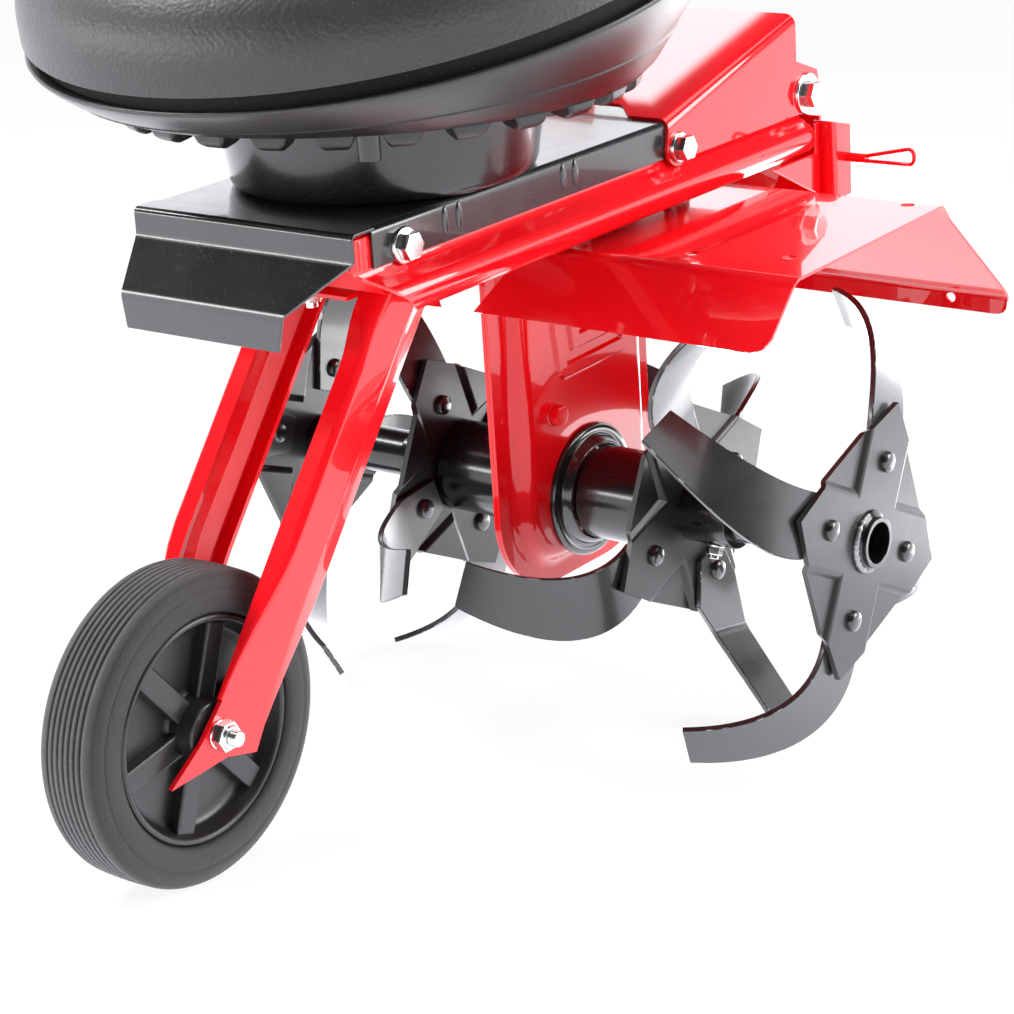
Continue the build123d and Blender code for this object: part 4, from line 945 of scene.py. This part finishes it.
# Wheel bolt: plated through bolt with a lock nut and a short thread end outside the left
# leg, its head on the right, and plain spacers at the hub.
bolt_r, collar_out, thread_out = 4.0, 6.9, 7.6
shape = bmesh.new()
for side, height in ((1, 5.2), (-1, 5.3)):
    hex_bolt(shape, facing(side, foot_out, wheel_y, wheel_z), flats=13.0, height=height, washer=7.2,
             washer_thick=0.8)
add_rod(shape, facing(1, foot_out + collar_out, wheel_y, wheel_z), 5.9, 1.8, 5.2, 32)
for k in range(4):
    thread = facing(1, foot_out + thread_out + thread_pitch * k, wheel_y, wheel_z)
    add_rod(shape, thread, bolt_r, thread_pitch, 3.5)
add_rod(shape, facing(1, 0, wheel_y, wheel_z), bolt_r, 2 * foot_out, segments=32)
wheel_bolt = add_piece("wheel_bolt", shape, zinc, edge=0.35)
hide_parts("wheel_axle")
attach(wheel_bolt, "front_fork")
dress("wheel_spacers", steel, edge=0.3)


# Wheel rim: black moulded wheel with a deep lip, a thin web and six broad spokes with
# rounded edges that run into the hub.
rim_black = moulded("rim_plastic", (0.0088, 0.0092, 0.0102, 1), gloss=0.28, grain_size=1300.0, grain=0.06)
rim_line = [(15.0, 54.2), (16.2, 53.0), (16.2, 51.6), (15.0, 50.4), (9.0, 48.4), (7.2, 46.6), (6.4, 43.0),
            (6.4, 20.0), (7.8, 16.6), (19.0, 14.6), (20.0, 13.6), (20.0, 4.05)]
rim_line += [(-x, r) for x, r in reversed(rim_line)]
spoke_count, spoke_turn, spoke_out, spoke_size, spoke_round = 6, -20, 31.0, (26.0, 12.0, 38.0), 1.5
shape = bmesh.new()
turn_line(shape, [(x, 0, r) for x, r in rim_line], across_axis, 96, closed=True)
bmesh.ops.remove_doubles(shape, verts=shape.verts, dist=0.001)
for k in range(spoke_count):
    place = Matrix.Translation((0, 0, spoke_out)) @ Matrix.Diagonal((*spoke_size, 1))
    place = Matrix.Rotation(math.radians(360 / spoke_count * k + spoke_turn), 4, "X") @ place
    spoke = bmesh.ops.create_cube(shape, size=1.0, matrix=place)
    round_edges(shape, list({e for v in spoke["verts"] for e in v.link_edges}), spoke_round, 3)
outwards(shape)
bmesh.ops.translate(shape, vec=(0, wheel_y, wheel_z), verts=shape.verts)
rim = add_piece("spoked_rim", shape, rim_black, edge=0.5)
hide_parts("wheel_rim")
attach(rim, "front_wheel")


# Tyre: solid grey-black rubber with running grooves round the tread, a stepped band on
# each shoulder and a darker plain sidewall. Pressed onto the rim.
tyre_rubber, tones, where, shader = new_finish("tyre_rubber")
bloom = tones.noise(where, 26.0, 5.0, 0.6)
crumbs = tones.noise(where, 900.0, 3.0, 0.65)
scuffs = tones.noise(where, 240.0, 4.0, 0.7).step(0.64, 0.74)
rubber = bloom.step(0.25, 0.8).between((0.043, 0.043, 0.0450, 1), (0.068, 0.0675, 0.0705, 1))
flank = tones.node("SeparateXYZ", None, {0: where}, 0)
flank = (flank * flank).step(0.000182, 0.000236)
rubber = (flank * 0.9).between(rubber, (0.010, 0.010, 0.0108, 1))
(scuffs * 0.5).between(rubber, (0.085, 0.084, 0.088, 1)).into(shader, "Base Color")
(crumbs * 0.22 + 0.50).into(shader, "Roughness")
(crumbs + scuffs * 0.6).bump(0.55, 0.0008).into(shader, "Normal")
tread_half, tread_r, groove_count, groove_deep = 13.2, 75.0, 8, 2.2
pitch = 2 * tread_half / groove_count
tyre_line = [(14.5, 54.0), (16.6, 55.2), (17.9, 57.2), (18.0, 62.0), (17.6, 65.4), (17.0, 65.8),
             (17.3, 66.6), (16.9, 69.0), (15.6, 71.8), (15.1, 72.0), (14.9, 72.7), (13.9, 74.0)]
tread = []
for k in range(groove_count):
    left = tread_half - pitch * k
    right = left - pitch
    crest = tread_r - 0.5 * ((left - pitch / 2) / tread_half) ** 2
    tread += [(left - 0.2, crest - 0.25), (left - 0.7, crest), (right + 1.2, crest),
              (right + 0.8, crest - groove_deep), (right + 0.2, crest - groove_deep)]
tyre_line = tyre_line + tread[:-2] + [(-x, r) for x, r in reversed(tyre_line)]
shape = bmesh.new()
turn_line(shape, [(x, 0, r) for x, r in tyre_line], across_axis, 160, closed=True)
clean_up(shape)
bmesh.ops.translate(shape, vec=(0, wheel_y, wheel_z), verts=shape.verts)
tyre = add_piece("ribbed_tyre", shape, tyre_rubber)
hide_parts("tyre")
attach(tyre, "front_wheel")


# Studio: white floor that keeps a faint shadow, white surround, soft lamps and a long
# lens at the machine's left front. In reflections the floor behind the machine is brighter.
reflected_white = (0.97, 0.985, 1.03, 1)
floor_shape = bmesh.new()
bmesh.ops.create_grid(floor_shape, x_segments=1, y_segments=1, size=30.0)
floor_paint = bpy.data.materials.new("studio_floor")
floor_paint.use_nodes = True
tones = Tone(floor_paint.node_tree)
grain = tones.noise(tones.node("TexCoord", output="Object"), 3.0, 2.0)
paper_colour = grain.between((0.84, 0.84, 0.84, 1), (0.88, 0.88, 0.88, 1))
paper = tones.node("BsdfDiffuse", None, {"Color": paper_colour})
glow = tones.node("Emission", None, {"Color": (1, 1, 1, 1), "Strength": 1.04})
spot = tones.node("TexCoord", output="Object")
spot_x, spot_y = [tones.node("SeparateXYZ", None, {0: spot}, k) for k in range(2)]
lit = spot_y.step(0.45, 0.52) * (1 - spot_x.step(0.42, 0.48)) * spot_x.step(-0.45, -0.35)
shine_colour = lit.between(reflected_white, (3.0, 3.0, 3.1, 1))
shine = tones.node("Emission", None, {"Color": shine_colour, "Strength": 2.4})
looked_at = tones.node("LightPath", output="Is Camera Ray")
looked_at = looked_at + tones.node("LightPath", output="Is Transmission Ray")
mirrored = tones.node("LightPath", output="Is Glossy Ray")
both = tones.node("MixShader", None, {0: looked_at * 0.84, 1: paper, 2: glow})
both = tones.node("MixShader", None, {0: mirrored, 1: both, 2: shine})
both.into(floor_paint.node_tree.nodes["Material Output"], "Surface")
floor = add_piece("studio_floor", floor_shape, floor_paint, place=Matrix.Identity(4), finished=False)

world = bpy.data.worlds.new("studio")
bpy.context.scene.world = world
world.use_nodes = True
tones = Tone(world.node_tree)
way = tones.node("TexCoord", output="Generated")
across, along, height = [tones.node("SeparateXYZ", None, {0: way}, k) for k in range(3)]
mirrored = tones.node("LightPath", output="Is Glossy Ray")
looked_at = tones.node("LightPath", output="Is Camera Ray")
looked_at = looked_at + tones.node("LightPath", output="Is Transmission Ray")
behind = (along * 0.8 - across * 0.6).step(-0.05, 0.6)
walls = (height - behind * 0.42).step(-0.02, 0.12).between(reflected_white, (0.03, 0.03, 0.033, 1))
fill = tones.node("Background", None, {"Color": (1, 1, 1, 1), "Strength": 0.62})
shine = tones.node("Background", None, {"Color": walls, "Strength": 2.2})
backdrop = tones.node("Background", None, {"Color": (1, 1, 1, 1), "Strength": 1.0})
both = tones.node("MixShader", None, {0: mirrored, 1: fill, 2: shine})
both = tones.node("MixShader", None, {0: looked_at, 1: both, 2: backdrop})
both.into(world.node_tree.nodes["World Output"], "Surface")


def soft_lamp(name, spot, aim, width, power):
    """Rectangular soft box that looks at a point."""
    lamp = bpy.data.lights.new(name, "AREA")
    lamp.shape = "RECTANGLE"
    lamp.size, lamp.size_y = width
    lamp.energy = power
    holder = bpy.data.objects.new(name, lamp)
    bpy.context.scene.collection.objects.link(holder)
    holder.location = spot
    holder.rotation_euler = (Vector(aim) - Vector(spot)).to_track_quat("-Z", "Y").to_euler()


soft_lamp("top_box", (0.2, 0.1, 1.9), (0, 0, 0.2), (1.6, 1.6), 20)
soft_lamp("right_box", (1.7, 1.1, 1.1), (0, 0, 0.2), (1.0, 1.4), 50)
soft_lamp("left_box", (-1.2, -0.9, 1.85), (0, -0.1, 0.25), (0.7, 0.7), 40)
soft_lamp("front_strip", (-1.25, -1.9, 0.52), (0, 0, 0.25), (2.6, 0.2), 29)

lens = bpy.data.cameras.new("camera")
lens.lens, lens.sensor_width = 98.0, 36.0
camera = bpy.data.objects.new("camera", lens)
bpy.context.scene.collection.objects.link(camera)
camera_axes = Matrix(((0.79757, -0.15870, 0.58196),
                      (0.60320, 0.20362, -0.77115),
                      (0.00388, 0.96609, 0.25814))).to_4x4()
camera.matrix_world = Matrix.Translation((0.8381, -1.0517, 0.4970)) @ camera_axes
bpy.context.scene.camera = camera
bpy.context.scene.view_settings.view_transform = "Standard"
